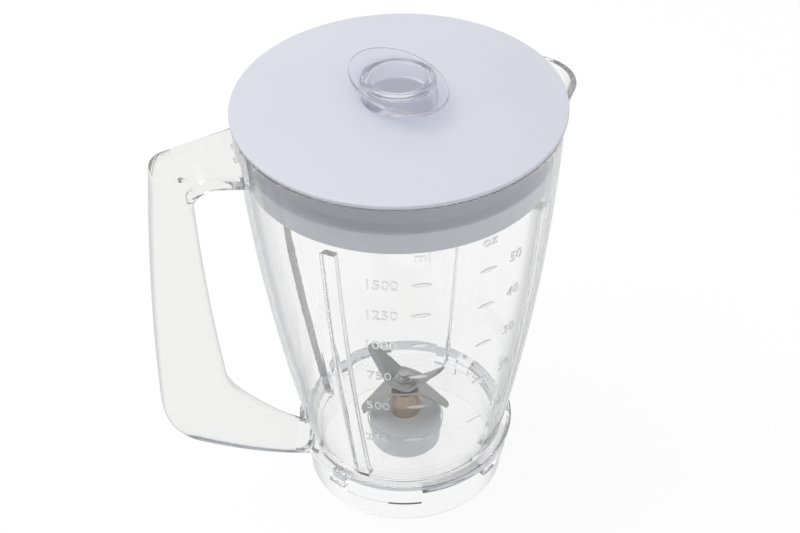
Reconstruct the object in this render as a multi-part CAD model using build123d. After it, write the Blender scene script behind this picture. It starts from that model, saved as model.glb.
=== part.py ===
from build123d import *
from math import cos, radians, sin, sqrt, tan
import os

# Clear blender jar with its lid, filler cap and blade drive.
# Millimetres, +Z up, origin at the bottom centre of the skirt.
# Spout at +X, handle at -X, scale on the -Y side.

# Jar wall
JAR_HEIGHT = 213.0
RIM_RADIUS = 72.6
WALL_FOOT_RADIUS = 49.0
WALL_BULGE = 4.1
WALL = 2.6
RIM_ROUND = 0.9

# Foot: flange, skirt, floor
SKIRT_RADIUS = 49.1
SKIRT_WALL = 2.4
FLANGE_RADIUS = 53.8
FLANGE_BOTTOM = 23.2
FLANGE_THICKNESS = 4.4
FLANGE_ROUND = 0.9
FLOOR_TOP = 25.0
FLOOR_THICKNESS = 2.8
FLOOR_ROUND = 4.0

# Bayonet lugs under the flange, and the stop at one end of each
LUG_COUNT = 4
LUG_RADIUS = 51.3
LUG_HEIGHT = 9.6
LUG_START = -143.0
LUG_SPAN = 43.0
STOP_HEIGHT = 4.6
STOP_SPAN = 10.0

# Flow ribs inside the wall
RIB_COUNT = 4
RIB_START = 45.0
RIB_WIDTH = 6.4
RIB_DEPTH = 4.4
RIB_TOP_GAP = 5.0

# Spout
SPOUT_REACH = 82.0
SPOUT_RADIUS = 22.0
SPOUT_DROP = 48.0
SPOUT_FOOT_RADIUS = 10.0

# Handle, seen from the side: reach is measured from the jar's axis
HANDLE_REACH = 121.0
HANDLE_WIDTH = 26.0
HANDLE_FOOT_WIDTH = 16.0
HANDLE_WALL = 2.4
HANDLE_ROUND = 6.0
GRIP_LEAN = 11.0
GRIP_BULGE = 2.4
GRIP_TOP_THICKNESS = 15.5
GRIP_FOOT_THICKNESS = 33.0
ARM_DEPTH = 25.0
ARM_DROP = 0.8
ARM_FALL = 6.0
ELBOW_HEIGHT = 58.0
ELBOW_ROUND = 16.0
GAP_FOOT_HEIGHT = 76.0
GAP_BULGE = 1.6
GAP_CORNER_ROUND = 9.0
GAP_FOOT_ROUND = 30.0
FOOT_LOW = 17.0
FOOT_HIGH = 32.5
FOOT_SAG = 4.5
ARM_FLOOR = 2.8
POCKET_STEP = 0.6
POCKET_INSET = 1.7
POCKET_RISE = 14.0
POCKET_ROUND = 6.0

# Drive tower in the middle of the floor
TOWER_WALL = 1.7
TOWER_TOP_WALL = 2.2
TOWER_ROUND = 5.0
BOSS_FOOT_RADIUS = 12.0
BOSS_TOP_RADIUS = 9.6
BOSS_HEIGHT = 5.0

# Drive coupling
COUPLING_RADIUS = 17.6
COUPLING_HEIGHT = 17.0
COUPLING_RECESS = 11.2
COUPLING_WALL = 2.4
COUPLING_WEB = 3.0
COUPLING_HUB_RADIUS = 6.8
COUPLING_SIDE_GAP = 0.7
COUPLING_TOP_GAP = 1.2
COUPLING_ROUND = 1.6
DOG_COUNT = 6
DOG_WIDTH = 4.0
DOG_DEPTH = 3.0
INSERT_RADIUS = 4.8
INSERT_RECESS = 2.5
INSERT_TOP_WALL = 1.0

# Bearing, seal and washers
SPINDLE_RADIUS = 3.0
RUNNING_CLEARANCE = 0.03
RUNNING_GAP = 0.3
BUSH_RADIUS = 5.6
BUSH_FLANGE_RADIUS = 7.4
BUSH_PROUD = 7.0
SEAL_RADIUS = 4.5
SEAL_DEPTH = 1.6
SEAL_PROUD = 0.7
THRUST_WASHER_RADIUS = 7.2
THRUST_WASHER_THICKNESS = 0.9

# Blade stack on the spindle
COLLAR_RADIUS = 4.5
COLLAR_HEIGHT = 1.5
SEAT_RADIUS = 2.6
SEAT_FLATS = 4.0
BLADE_THICKNESS = 1.5
SPACER_HEIGHT = 2.2
BLADE_WASHER_RADIUS = 4.4
BLADE_WASHER_THICKNESS = 0.8
NUT_FLATS = 7.6
NUT_HEIGHT = 2.6
NUT_DOME = 1.2

# Blade plans: an azimuth, a flat middle and two bent wings
UPPER_AZIMUTH = 139.0
UPPER_FLAT = 6.0
UPPER_BEND_ANGLE = 45.0
UPPER_WING = 21.0
UPPER_ROOT_WIDTH = 13.0
UPPER_TIP_WIDTH = 5.0
LOWER_AZIMUTH = -18.0
LOWER_FLAT = 9.8
LOWER_BEND_ANGLE = 54.0
LOWER_WING = 19.0
LOWER_ROOT_WIDTH = 11.0
LOWER_TIP_WIDTH = 5.5
WING_SWEEP = 2.0

# Lid and its sealing ring
LID_RADIUS = 73.8
LID_EDGE = 3.0
LID_CROWN = 2.9
LID_WALL = 2.4
LID_EDGE_ROUND = 1.2
PLUG_DEPTH = 26.0
PLUG_CLEARANCE = 0.9
PLUG_ROUND = 0.8
SEAL_BAND_DROP = 3.2
SEAL_BAND = 11.4
SEAL_BAND_SEAT = 1.6
SEAL_LIP = 1.4
SEAL_LIP_CLEARANCE = 0.3
SEAL_LIP_ROUND = 0.5

# Filler hole and cap
HOLE_RADIUS = 15.1
COLLAR_WALL = 2.2
COLLAR_DEPTH = 12.0
CAP_SEAT_WIDTH = 3.4
CAP_CLEARANCE = 0.35
CAP_RADIUS = 16.2
CAP_HEIGHT = 11.0
CAP_WALL = 1.8
CAP_PLUG_DEPTH = 15.0
CAP_ROUND = 1.2
BRIM_LENGTH = 56.8
BRIM_BREADTH = 36.8
BRIM_THICKNESS = 2.0
BRIM_DROP = 2.0
BRIM_AZIMUTH = -77.0

# Heights and radii that follow from the sizes above
flange_top = FLANGE_BOTTOM + FLANGE_THICKNESS
floor_under = FLOOR_TOP - FLOOR_THICKNESS
skirt_inner = SKIRT_RADIUS - SKIRT_WALL
coupling_top = COUPLING_RECESS + COUPLING_HEIGHT
tower_ceiling = coupling_top + COUPLING_TOP_GAP
tower_top = tower_ceiling + TOWER_TOP_WALL
tower_inner = COUPLING_RADIUS + COUPLING_SIDE_GAP
tower_outer = tower_inner + TOWER_WALL
boss_top = tower_top + BOSS_HEIGHT
bush_top = boss_top + BUSH_PROUD
collar_bottom = bush_top + SEAL_PROUD + RUNNING_GAP
lower_blade_bottom = collar_bottom + COLLAR_HEIGHT
spacer_bottom = lower_blade_bottom + BLADE_THICKNESS
upper_blade_bottom = spacer_bottom + SPACER_HEIGHT
blade_washer_bottom = upper_blade_bottom + BLADE_THICKNESS
nut_bottom = blade_washer_bottom + BLADE_WASHER_THICKNESS
nut_top = nut_bottom + NUT_HEIGHT
spindle_bottom = COUPLING_RECESS + INSERT_RECESS
insert_top = coupling_top - INSERT_TOP_WALL
lid_edge_top = JAR_HEIGHT + LID_EDGE
lid_top = lid_edge_top + LID_CROWN
plug_bottom = JAR_HEIGHT - PLUG_DEPTH
trough_floor = JAR_HEIGHT - ARM_DEPTH + ARM_FLOOR
seal_band_top = JAR_HEIGHT - SEAL_BAND_DROP
seal_band_bottom = seal_band_top - SEAL_BAND
cap_top = lid_top + CAP_HEIGHT
cap_plug_radius = HOLE_RADIUS - CAP_CLEARANCE

# The arc that the jar's outer wall follows, from the flange to the rim
wall_arc = ThreePointArc(
    (WALL_FOOT_RADIUS, flange_top),
    ((WALL_FOOT_RADIUS + RIM_RADIUS) / 2 + WALL_BULGE, (flange_top + JAR_HEIGHT) / 2),
    (RIM_RADIUS, JAR_HEIGHT),
)


def wall_radius(height, depth=0.0):
    """Radius of the surface that lies this deep inside the outer wall, at a height"""
    centre = wall_arc.arc_center
    return centre.X + sqrt((wall_arc.radius - depth) ** 2 - (height - centre.Y) ** 2)


plug_outer = wall_radius(plug_bottom, WALL) - PLUG_CLEARANCE
seal_band_inner = plug_outer - SEAL_BAND_SEAT


def wall_curve(start, end, depth=0.0):
    """Arc of the wall's profile between two heights"""
    middle = (start + end) / 2
    heights = (start, middle, end)
    return ThreePointArc(*[(wall_radius(height, depth), height) for height in heights])


def turned(*lines, rounds=()):
    """Solid of revolution about Z from profile lines in (radius, height), with rounded corners"""
    profile = make_face(lines)
    for corner, radius in rounds:
        profile = fillet(profile.vertices().sort_by_distance(corner)[0], radius)
    return revolve(Plane.XZ * profile, Axis.Z)


def oblong(inner, outer, bottom, top):
    """Four-sided profile between two radii and two heights"""
    return Polyline((inner, bottom), (outer, bottom), (outer, top), (inner, top), close=True)


def ring(inner, outer, bottom, top):
    """Plain ring about the Z axis"""
    return turned(oblong(inner, outer, bottom, top))


def sector(inner, outer, bottom, top, start, span):
    """Part of a ring that starts at an azimuth and turns through a span"""
    section = Plane.XZ * make_face(oblong(inner, outer, bottom, top))
    return revolve(Rot(0, 0, start) * section, Axis.Z, revolution_arc=span)


def inside_of_wall(depth, bottom, top):
    """Solid that fills the jar to a depth inside its outer wall"""
    foot = wall_radius(flange_top, depth)
    head = wall_radius(JAR_HEIGHT, depth)
    return turned(
        Polyline((foot, flange_top), (foot, bottom), (0, bottom), (0, top), (head, top), (head, JAR_HEIGHT)),
        wall_curve(flange_top, JAR_HEIGHT, depth),
    )


def jar_shell():
    """Turned body: skirt, flange, wall, floor and drive tower"""
    wall_floor = (wall_radius(FLOOR_TOP, WALL), FLOOR_TOP)
    rim_outer = (wall_radius(JAR_HEIGHT), JAR_HEIGHT)
    rim_inner = (wall_radius(JAR_HEIGHT, WALL), JAR_HEIGHT)
    rounds = (
        (wall_floor, FLOOR_ROUND),
        ((tower_outer, tower_top), TOWER_ROUND),
        (rim_outer, RIM_ROUND),
        (rim_inner, RIM_ROUND),
        ((FLANGE_RADIUS, FLANGE_BOTTOM), FLANGE_ROUND),
        ((FLANGE_RADIUS, flange_top), FLANGE_ROUND),
    )
    return turned(
        Polyline(
            (skirt_inner, 0),
            (SKIRT_RADIUS, 0),
            (SKIRT_RADIUS, FLANGE_BOTTOM),
            (FLANGE_RADIUS, FLANGE_BOTTOM),
            (FLANGE_RADIUS, flange_top),
            (WALL_FOOT_RADIUS, flange_top),
        ),
        wall_curve(flange_top, JAR_HEIGHT),
        Line(rim_outer, rim_inner),
        wall_curve(JAR_HEIGHT, FLOOR_TOP, WALL),
        Polyline(
            wall_floor,
            (tower_outer, FLOOR_TOP),
            (tower_outer, tower_top),
            (BOSS_FOOT_RADIUS, tower_top),
            (BOSS_TOP_RADIUS, boss_top),
            (BUSH_RADIUS, boss_top),
            (BUSH_RADIUS, tower_ceiling),
            (tower_inner, tower_ceiling),
            (tower_inner, floor_under),
            (skirt_inner, floor_under),
            (skirt_inner, 0),
        ),
        rounds=rounds,
    )


def spout_nose(depth):
    """Leaning cone whose outside is the spout, drawn in by a depth for the spout's inside"""
    foot = JAR_HEIGHT - SPOUT_DROP
    foot_centre = wall_radius(foot) - WALL / 2 - SPOUT_FOOT_RADIUS
    head_circle = Pos(SPOUT_REACH - SPOUT_RADIUS, 0, JAR_HEIGHT) * Circle(SPOUT_RADIUS - depth)
    foot_circle = Pos(foot_centre, 0, foot) * Circle(SPOUT_FOOT_RADIUS - depth)
    return loft([foot_circle, head_circle])


grip_head = (HANDLE_REACH - GRIP_LEAN, JAR_HEIGHT)
gap_head = (grip_head[0] - GRIP_TOP_THICKNESS, JAR_HEIGHT - ARM_DEPTH)
gap_foot = (HANDLE_REACH - GRIP_FOOT_THICKNESS, GAP_FOOT_HEIGHT)


def handle_profile():
    """Side outline of the handle in the XZ plane, carried above its rim and into the jar's wall"""
    root = WALL_FOOT_RADIUS - SKIRT_WALL
    elbow = (HANDLE_REACH, ELBOW_HEIGHT)
    foot_low = (root, FOOT_LOW)
    foot_high = (root, FOOT_HIGH)

    def bowed(start, end, out, down):
        middle = ((start[0] + end[0]) / 2 + out, (start[1] + end[1]) / 2 - down)
        return ThreePointArc(*[(-reach, height) for reach, height in (start, middle, end)])

    def line(*points):
        return Polyline(*[(-reach, height) for reach, height in points])

    back = bowed(grip_head, elbow, GRIP_BULGE, 0)
    above = back @ 0 - back % 0 * ARM_DEPTH
    head = (-above.X, above.Y)
    outline = make_face([
        line((root, head[1]), head, grip_head),
        back,
        bowed(elbow, foot_low, 0, FOOT_SAG),
        line(foot_low, foot_high),
        bowed(foot_high, gap_foot, 0, FOOT_SAG),
        bowed(gap_foot, gap_head, GAP_BULGE, 0),
        line(gap_head, (root, gap_head[1]), (root, head[1])),
    ])
    for (reach, height), radius in (
        (elbow, ELBOW_ROUND),
        (gap_foot, GAP_FOOT_ROUND),
        (gap_head, GAP_CORNER_ROUND),
    ):
        outline = fillet(outline.vertices().sort_by_distance((-reach, height))[0], radius)
    return outline


def drafted_slab(profile, inset, radius):
    """Profile given the handle's width, which narrows downwards, with its edges rounded but at the flat top"""
    head = JAR_HEIGHT + 2 * ARM_DEPTH
    narrowing = (HANDLE_WIDTH - HANDLE_FOOT_WIDTH) / 2 / JAR_HEIGHT
    foot_half = HANDLE_FOOT_WIDTH / 2 - inset
    head_half = foot_half + narrowing * head
    wedge = make_face(
        Polyline((-foot_half, 0), (foot_half, 0), (head_half, head), (-head_half, head), close=True)
    )
    slab = extrude(Plane.XZ * profile, HANDLE_WIDTH, both=True)
    slab &= extrude(Plane.YZ * wedge, -2 * HANDLE_REACH)
    faces = slab.faces().sort_by(Axis.Y)
    sides = (faces[0], faces[-1])
    below_top = profile.bounding_box().max.Y - radius / 2
    edges = [edge for face in sides for edge in face.edges() if edge.center().X < -WALL_FOOT_RADIUS]
    return fillet([edge for edge in edges if edge.center().Z < below_top], radius)


def handle_outer():
    """Outside of the handle, cut off at its sloping rim and at the middle of the jar's wall"""
    slope = ARM_FALL / (HANDLE_REACH - GRIP_LEAN - RIM_RADIUS)
    far = 2 * HANDLE_REACH
    rim = JAR_HEIGHT - ARM_DROP
    low = rim - slope * (far - RIM_RADIUS)
    high = rim + slope * RIM_RADIUS
    head = JAR_HEIGHT + 2 * ARM_DEPTH
    over = make_face(Polyline((0, high), (-far, low), (-far, head), (0, head), close=True))
    above_rim = extrude(Plane.XZ * over, HANDLE_WIDTH, both=True)
    slab = drafted_slab(handle_profile(), 0, HANDLE_ROUND)
    return slab - above_rim - inside_of_wall(WALL / 2, 0, head)


def handle_trough():
    """Open-topped hollow of the arm, with a flat floor"""
    above_floor = Pos(-HANDLE_REACH, trough_floor) * Rectangle(
        2 * HANDLE_REACH, JAR_HEIGHT, align=(Align.CENTER, Align.MIN)
    )
    hollow = offset(handle_profile(), -HANDLE_WALL) & above_floor
    slab = drafted_slab(hollow, HANDLE_WALL, HANDLE_ROUND - HANDLE_WALL)
    return slab - inside_of_wall(0, 0, JAR_HEIGHT + 2 * ARM_DEPTH)


def handle_pocket():
    """Hollow of the grip, a step narrower than the trough that it opens from"""
    wall = HANDLE_WALL + POCKET_STEP
    bottom = GAP_FOOT_HEIGHT + POCKET_RISE
    top = trough_floor + ARM_FLOOR
    lean = (gap_head[0] - gap_foot[0]) / (gap_head[1] - gap_foot[1])

    def inner_reach(height):
        return gap_foot[0] + lean * (height - GAP_FOOT_HEIGHT) + wall + POCKET_INSET

    within = make_face(
        Polyline(
            (-inner_reach(bottom), bottom),
            (-inner_reach(top), top),
            (-2 * HANDLE_REACH, top),
            (-2 * HANDLE_REACH, bottom),
            close=True,
        )
    )
    hollow = offset(handle_profile(), -wall) & within
    lowest = hollow.vertices().group_by(Axis.Y)[0]
    hollow = fillet(lowest, POCKET_ROUND)
    return drafted_slab(hollow, wall, HANDLE_ROUND - wall)


def flow_rib():
    """One upright rib on the inside of the wall, at azimuth zero"""
    top = plug_bottom - RIB_TOP_GAP
    bottom = FLOOR_TOP - FLOOR_THICKNESS / 2
    root = WALL / 2
    crest = WALL + RIB_DEPTH
    band = turned(
        wall_curve(bottom, top, root),
        Line((wall_radius(top, root), top), (wall_radius(top, crest), top)),
        wall_curve(top, bottom, crest),
        Line((wall_radius(bottom, crest), bottom), (wall_radius(bottom, root), bottom)),
    )
    corner = (Align.MIN, Align.CENTER, Align.MIN)
    plate = Pos(0, 0, bottom) * Box(RIM_RADIUS, RIB_WIDTH, JAR_HEIGHT, align=corner)
    return band & plate


def make_jar():
    """Jar moulding: body, spout, handle, ribs and bayonet lugs in one piece"""
    jar = jar_shell() + (spout_nose(0) - inside_of_wall(WALL / 2, 0, JAR_HEIGHT + WALL))
    jar -= spout_nose(WALL)
    jar += handle_outer()
    jar -= handle_trough()
    jar -= handle_pocket()
    rib = flow_rib()
    for index in range(RIB_COUNT):
        jar += Rot(0, 0, RIB_START + index * 360 / RIB_COUNT) * rib
    middle = SKIRT_RADIUS - SKIRT_WALL / 2
    for index in range(LUG_COUNT):
        start = LUG_START + index * 360 / LUG_COUNT
        jar += sector(middle, LUG_RADIUS, FLANGE_BOTTOM - LUG_HEIGHT, FLANGE_BOTTOM, start, LUG_SPAN)
        stop_bottom = FLANGE_BOTTOM - STOP_HEIGHT
        jar += sector(middle, FLANGE_RADIUS, stop_bottom, FLANGE_BOTTOM, start - STOP_SPAN, STOP_SPAN)
    return jar


def make_lid():
    """Domed disc that rests on the rim, with its plug, seal groove and filler collar"""
    plug_inner = seal_band_inner - LID_WALL
    seat = HOLE_RADIUS + CAP_SEAT_WIDTH
    collar_outer = HOLE_RADIUS + COLLAR_WALL
    return turned(
        Line((HOLE_RADIUS, lid_top), (seat, lid_top)),
        TangentArc((seat, lid_top), (LID_RADIUS, lid_edge_top), tangent=(1, 0)),
        Polyline(
            (LID_RADIUS, lid_edge_top),
            (LID_RADIUS, JAR_HEIGHT),
            (plug_outer, JAR_HEIGHT),
            (plug_outer, seal_band_top),
            (seal_band_inner, seal_band_top),
            (seal_band_inner, seal_band_bottom),
            (plug_outer, seal_band_bottom),
            (plug_outer, plug_bottom),
            (plug_inner, plug_bottom),
            (plug_inner, lid_edge_top - LID_WALL),
            (collar_outer, lid_top - LID_WALL),
            (collar_outer, lid_top - COLLAR_DEPTH),
            (HOLE_RADIUS, lid_top - COLLAR_DEPTH),
            (HOLE_RADIUS, lid_top),
        ),
        rounds=(
            ((LID_RADIUS, lid_edge_top), LID_EDGE_ROUND),
            ((LID_RADIUS, JAR_HEIGHT), LID_EDGE_ROUND),
            ((plug_outer, plug_bottom), PLUG_ROUND),
        ),
    )


def make_lid_seal():
    """Sealing ring in the plug's groove, flared to a lip just clear of the jar's wall"""
    lip = wall_radius(seal_band_bottom, WALL) - SEAL_LIP_CLEARANCE
    return turned(
        Polyline(
            (seal_band_inner, seal_band_bottom),
            (lip, seal_band_bottom),
            (lip, seal_band_bottom + SEAL_LIP),
            (plug_outer, seal_band_top),
            (seal_band_inner, seal_band_top),
            close=True,
        ),
        rounds=(((lip, seal_band_bottom), SEAL_LIP_ROUND),),
    )


def make_filler_cap():
    """Closed-topped cap that rests on the lid, with an oval brim and a hollow plug in the filler hole"""
    plug_end = lid_top - CAP_PLUG_DEPTH
    inner = cap_plug_radius - CAP_WALL
    body = turned(
        Polyline(
            (0, cap_top),
            (CAP_RADIUS, cap_top),
            (CAP_RADIUS, lid_top),
            (cap_plug_radius, lid_top),
            (cap_plug_radius, plug_end),
            (inner, plug_end),
            (inner, cap_top - CAP_WALL),
            (0, cap_top - CAP_WALL),
            close=True,
        ),
        rounds=(((CAP_RADIUS, cap_top), CAP_ROUND),),
    )
    oval = Rot(0, 0, BRIM_AZIMUTH) * Ellipse(BRIM_LENGTH / 2, BRIM_BREADTH / 2)
    brim_bottom = cap_top - BRIM_DROP - BRIM_THICKNESS
    brim = extrude(Pos(0, 0, brim_bottom) * oval, BRIM_THICKNESS)
    return body + (brim - extrude(Pos(0, 0, brim_bottom) * Circle(inner), BRIM_THICKNESS))


def make_bearing_bush():
    """Sintered bush pressed into the tower's boss, with a flange and a recess for the seal"""
    bore = SPINDLE_RADIUS + RUNNING_CLEARANCE
    recess = bush_top - SEAL_DEPTH
    return turned(
        Polyline(
            (bore, tower_ceiling),
            (BUSH_RADIUS, tower_ceiling),
            (BUSH_RADIUS, boss_top),
            (BUSH_FLANGE_RADIUS, boss_top),
            (BUSH_RADIUS, bush_top),
            (SEAL_RADIUS, bush_top),
            (SEAL_RADIUS, recess),
            (bore, recess),
            close=True,
        )
    )


def make_shaft_seal():
    """Lip seal that lies in the bush's recess and stands a little proud of it"""
    lip = SPINDLE_RADIUS + RUNNING_CLEARANCE
    return ring(lip, SEAL_RADIUS, bush_top - SEAL_DEPTH, bush_top + SEAL_PROUD)


def drive_section():
    """Double-D section that the blades and their spacer are keyed on"""
    return Circle(SEAT_RADIUS) & Rectangle(2 * SEAT_RADIUS, SEAT_FLATS)


def make_spindle():
    """Turned spindle with a collar under the blades and two flats above it"""
    turned_part = turned(
        Polyline(
            (0, spindle_bottom),
            (SPINDLE_RADIUS, spindle_bottom),
            (SPINDLE_RADIUS, collar_bottom),
            (COLLAR_RADIUS, collar_bottom),
            (COLLAR_RADIUS, lower_blade_bottom),
            (0, lower_blade_bottom),
            close=True,
        )
    )
    seat = extrude(Pos(0, 0, lower_blade_bottom) * drive_section(), nut_top - lower_blade_bottom)
    return turned_part + seat


def keyed_ring(radius, bottom, thickness):
    """Washer or spacer with the spindle's section cut through it"""
    disc = extrude(Pos(0, 0, bottom) * Circle(radius), thickness)
    return disc - extrude(Pos(0, 0, bottom) * drive_section(), thickness)


def wing_outline(flat, reach, root_width, tip_width):
    """Plan of a blade: a round hub and two tapering wings that sweep back, alike after half a turn"""
    tip = tip_width / 2
    hub = Circle(root_width / 2)
    plan = hub
    for turn in (0, 180):
        root = Pos(flat / 2, 0) * Circle(root_width / 2)
        end = Pos(reach - tip, WING_SWEEP) * Circle(tip)
        plan += Rot(0, 0, turn) * make_hull(root.edges() + end.edges())
    return plan


def make_blade(bottom, azimuth, flat, bend, wing, root_width, tip_width, rise):
    """Stamped blade: a strip bent at the ends of its flat middle, trimmed to its plan and keyed"""
    angle = radians(bend)
    run = wing * cos(angle)
    climb = rise * wing * sin(angle)
    shift = BLADE_THICKNESS * tan(angle / 2)
    lean = BLADE_THICKNESS * sin(angle)
    height = BLADE_THICKNESS * cos(angle)
    low_bend = flat if rise > 0 else flat - shift
    high_bend = flat - shift if rise > 0 else flat
    low_tip = (low_bend + run, climb)
    high_tip = (low_tip[0] - rise * lean, climb + height)
    half = [(0, 0), (low_bend, 0), low_tip, high_tip, (high_bend, BLADE_THICKNESS), (0, BLADE_THICKNESS)]
    other = [(-across, up) for across, up in reversed(half[1:-1])]
    strip = extrude(Plane.XZ * make_face(Polyline(*half, *other, close=True)), root_width, both=True)
    reach = max(low_tip[0], high_tip[0])
    plan = wing_outline(flat, reach, root_width, tip_width)
    column = Pos(0, 0, -wing) * extrude(plan, 2 * wing + BLADE_THICKNESS)
    key = extrude(Rot(0, 0, -azimuth) * drive_section(), BLADE_THICKNESS)
    return Pos(0, 0, bottom) * Rot(0, 0, azimuth) * ((strip & column) - key)


def make_lower_blade():
    """Blade with its two wings bent down past the tower's shoulder"""
    sizes = (LOWER_FLAT, LOWER_BEND_ANGLE, LOWER_WING, LOWER_ROOT_WIDTH, LOWER_TIP_WIDTH)
    return make_blade(lower_blade_bottom, LOWER_AZIMUTH, *sizes, rise=-1)


def make_upper_blade():
    """Blade with its two wings bent up"""
    sizes = (UPPER_FLAT, UPPER_BEND_ANGLE, UPPER_WING, UPPER_ROOT_WIDTH, UPPER_TIP_WIDTH)
    return make_blade(upper_blade_bottom, UPPER_AZIMUTH, *sizes, rise=1)


def make_blade_nut():
    """Low domed nut on the spindle's end"""
    hexagon = Pos(0, 0, nut_bottom) * RegularPolygon(NUT_FLATS / 2, 6, major_radius=False)
    nut = extrude(hexagon, NUT_HEIGHT)
    corner = NUT_FLATS / sqrt(3)
    peak = nut_top + NUT_DOME
    dome = turned(
        Polyline((corner, nut_top), (0, nut_top), (0, peak)),
        TangentArc((0, peak), (corner, nut_top), tangent=(1, 0)),
    )
    cap = dome & extrude(Pos(0, 0, NUT_HEIGHT) * hexagon, NUT_DOME)
    return nut + cap - extrude(Pos(0, 0, nut_bottom) * drive_section(), NUT_HEIGHT)


def make_drive_coupling():
    """Drum open at the bottom, with a hub for the insert and driving dogs on its wall"""
    inner = COUPLING_RADIUS - COUPLING_WALL
    web = coupling_top - COUPLING_WEB
    drum = turned(
        Polyline(
            (SPINDLE_RADIUS, insert_top),
            (SPINDLE_RADIUS, coupling_top),
            (COUPLING_RADIUS, coupling_top),
            (COUPLING_RADIUS, COUPLING_RECESS),
            (inner, COUPLING_RECESS),
            (inner, web),
            (COUPLING_HUB_RADIUS, web),
            (COUPLING_HUB_RADIUS, spindle_bottom),
            (INSERT_RADIUS, spindle_bottom),
            (INSERT_RADIUS, insert_top),
            close=True,
        ),
        rounds=(((COUPLING_RADIUS, coupling_top), COUPLING_ROUND),),
    )
    dog_height = web - spindle_bottom
    middle = COUPLING_RADIUS - COUPLING_WALL / 2
    dog = Pos(middle, 0, spindle_bottom) * Box(
        DOG_DEPTH + COUPLING_WALL / 2, DOG_WIDTH, dog_height, align=(Align.MAX, Align.CENTER, Align.MIN)
    )
    for index in range(DOG_COUNT):
        drum += Rot(0, 0, index * 360 / DOG_COUNT) * dog
    return drum


washer_top = coupling_top + THRUST_WASHER_THICKNESS
parts = {
    "jar": make_jar(),
    "lid": make_lid(),
    "lid_seal": make_lid_seal(),
    "filler_cap": make_filler_cap(),
    "bearing_bush": make_bearing_bush(),
    "shaft_seal": make_shaft_seal(),
    "spindle": make_spindle(),
    "lower_blade": make_lower_blade(),
    "blade_spacer": keyed_ring(COLLAR_RADIUS, spacer_bottom, SPACER_HEIGHT),
    "upper_blade": make_upper_blade(),
    "blade_washer": keyed_ring(BLADE_WASHER_RADIUS, blade_washer_bottom, BLADE_WASHER_THICKNESS),
    "blade_nut": make_blade_nut(),
    "thrust_washer": ring(SPINDLE_RADIUS, THRUST_WASHER_RADIUS, coupling_top, washer_top),
    "coupling_insert": ring(SPINDLE_RADIUS, INSERT_RADIUS, spindle_bottom, insert_top),
    "drive_coupling": make_drive_coupling(),
}

os.makedirs("parts", exist_ok=True)
for name, shape in parts.items():
    export_step(shape, f"parts/{name}.step")
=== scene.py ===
from math import asin, atan2, cos, pi, radians, sin, sqrt, tan

import bmesh
import bpy
from bpy.props import FloatProperty, FloatVectorProperty, IntProperty, PointerProperty
from mathutils import Matrix, Quaternion, Vector


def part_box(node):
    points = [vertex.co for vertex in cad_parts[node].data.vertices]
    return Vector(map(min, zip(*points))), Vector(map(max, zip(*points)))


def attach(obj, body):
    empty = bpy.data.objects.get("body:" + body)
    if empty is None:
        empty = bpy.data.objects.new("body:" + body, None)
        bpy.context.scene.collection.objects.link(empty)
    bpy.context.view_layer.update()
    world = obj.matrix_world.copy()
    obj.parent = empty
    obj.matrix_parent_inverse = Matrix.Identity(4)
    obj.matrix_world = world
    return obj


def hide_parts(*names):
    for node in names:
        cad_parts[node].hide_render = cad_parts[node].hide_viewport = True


bl_info = {
    "name": "Clear blender jar",
    "version": (1, 0, 0),
    "blender": (4, 5, 0),
    "location": "3D View > Sidebar > Jar",
    "description": "Dresses a blender jar with its lid, filler cap and blade drive",
    "category": "Object",
}

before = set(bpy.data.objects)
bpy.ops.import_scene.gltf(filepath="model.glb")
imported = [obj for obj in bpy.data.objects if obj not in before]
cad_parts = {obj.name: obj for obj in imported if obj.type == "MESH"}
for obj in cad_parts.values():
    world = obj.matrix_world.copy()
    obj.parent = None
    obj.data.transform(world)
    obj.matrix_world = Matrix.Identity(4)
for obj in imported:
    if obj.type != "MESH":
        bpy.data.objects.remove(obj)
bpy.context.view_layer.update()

MM = 0.001
JAR_BODY = "jar_body"
ROTOR = "rotor"

# Heights and radii that the packed pieces give
jar_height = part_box("jar")[1].z
spout_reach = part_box("jar")[1].x
lid_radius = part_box("lid")[1].x
plug_bottom, lid_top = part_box("lid")[0].z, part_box("lid")[1].z
cap_plug_end, cap_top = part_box("filler_cap")[0].z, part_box("filler_cap")[1].z
seal_bottom, seal_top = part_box("lid_seal")[0].z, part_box("lid_seal")[1].z
seal_lip_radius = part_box("lid_seal")[1].x
coupling_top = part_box("drive_coupling")[1].z


def linear(hex_code):
    """Linear colour from an sRGB hex value such as D8DCE8"""
    shares = [int(hex_code[place:place + 2], 16) / 255 for place in (0, 2, 4)]
    return tuple(share / 12.92 if share <= 0.04045 else ((share + 0.055) / 1.055) ** 2.4 for share in shares)


def length(name, description, millimetres):
    """Length property, written in millimetres and kept in metres"""
    return FloatProperty(
        name=name, description=description, default=millimetres * MM, unit="LENGTH", precision=5
    )


def turn(name, description, degrees):
    """Angle property, written in degrees and kept in radians"""
    return FloatProperty(name=name, description=description, default=radians(degrees), subtype="ANGLE")


def colour(name, description, hex_code):
    """Colour property, written as an sRGB hex value and kept linear"""
    return FloatVectorProperty(
        name=name, description=description, default=linear(hex_code), subtype="COLOR", min=0.0, max=1.0
    )


def power(name, description, watts):
    """Strength of a lamp, in watts"""
    return FloatProperty(name=name, description=description, default=watts, unit="POWER")


def room_place(name, description, metres):
    """Place in the studio, in metres"""
    return FloatVectorProperty(name=name, description=description, default=metres, unit="LENGTH")


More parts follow.
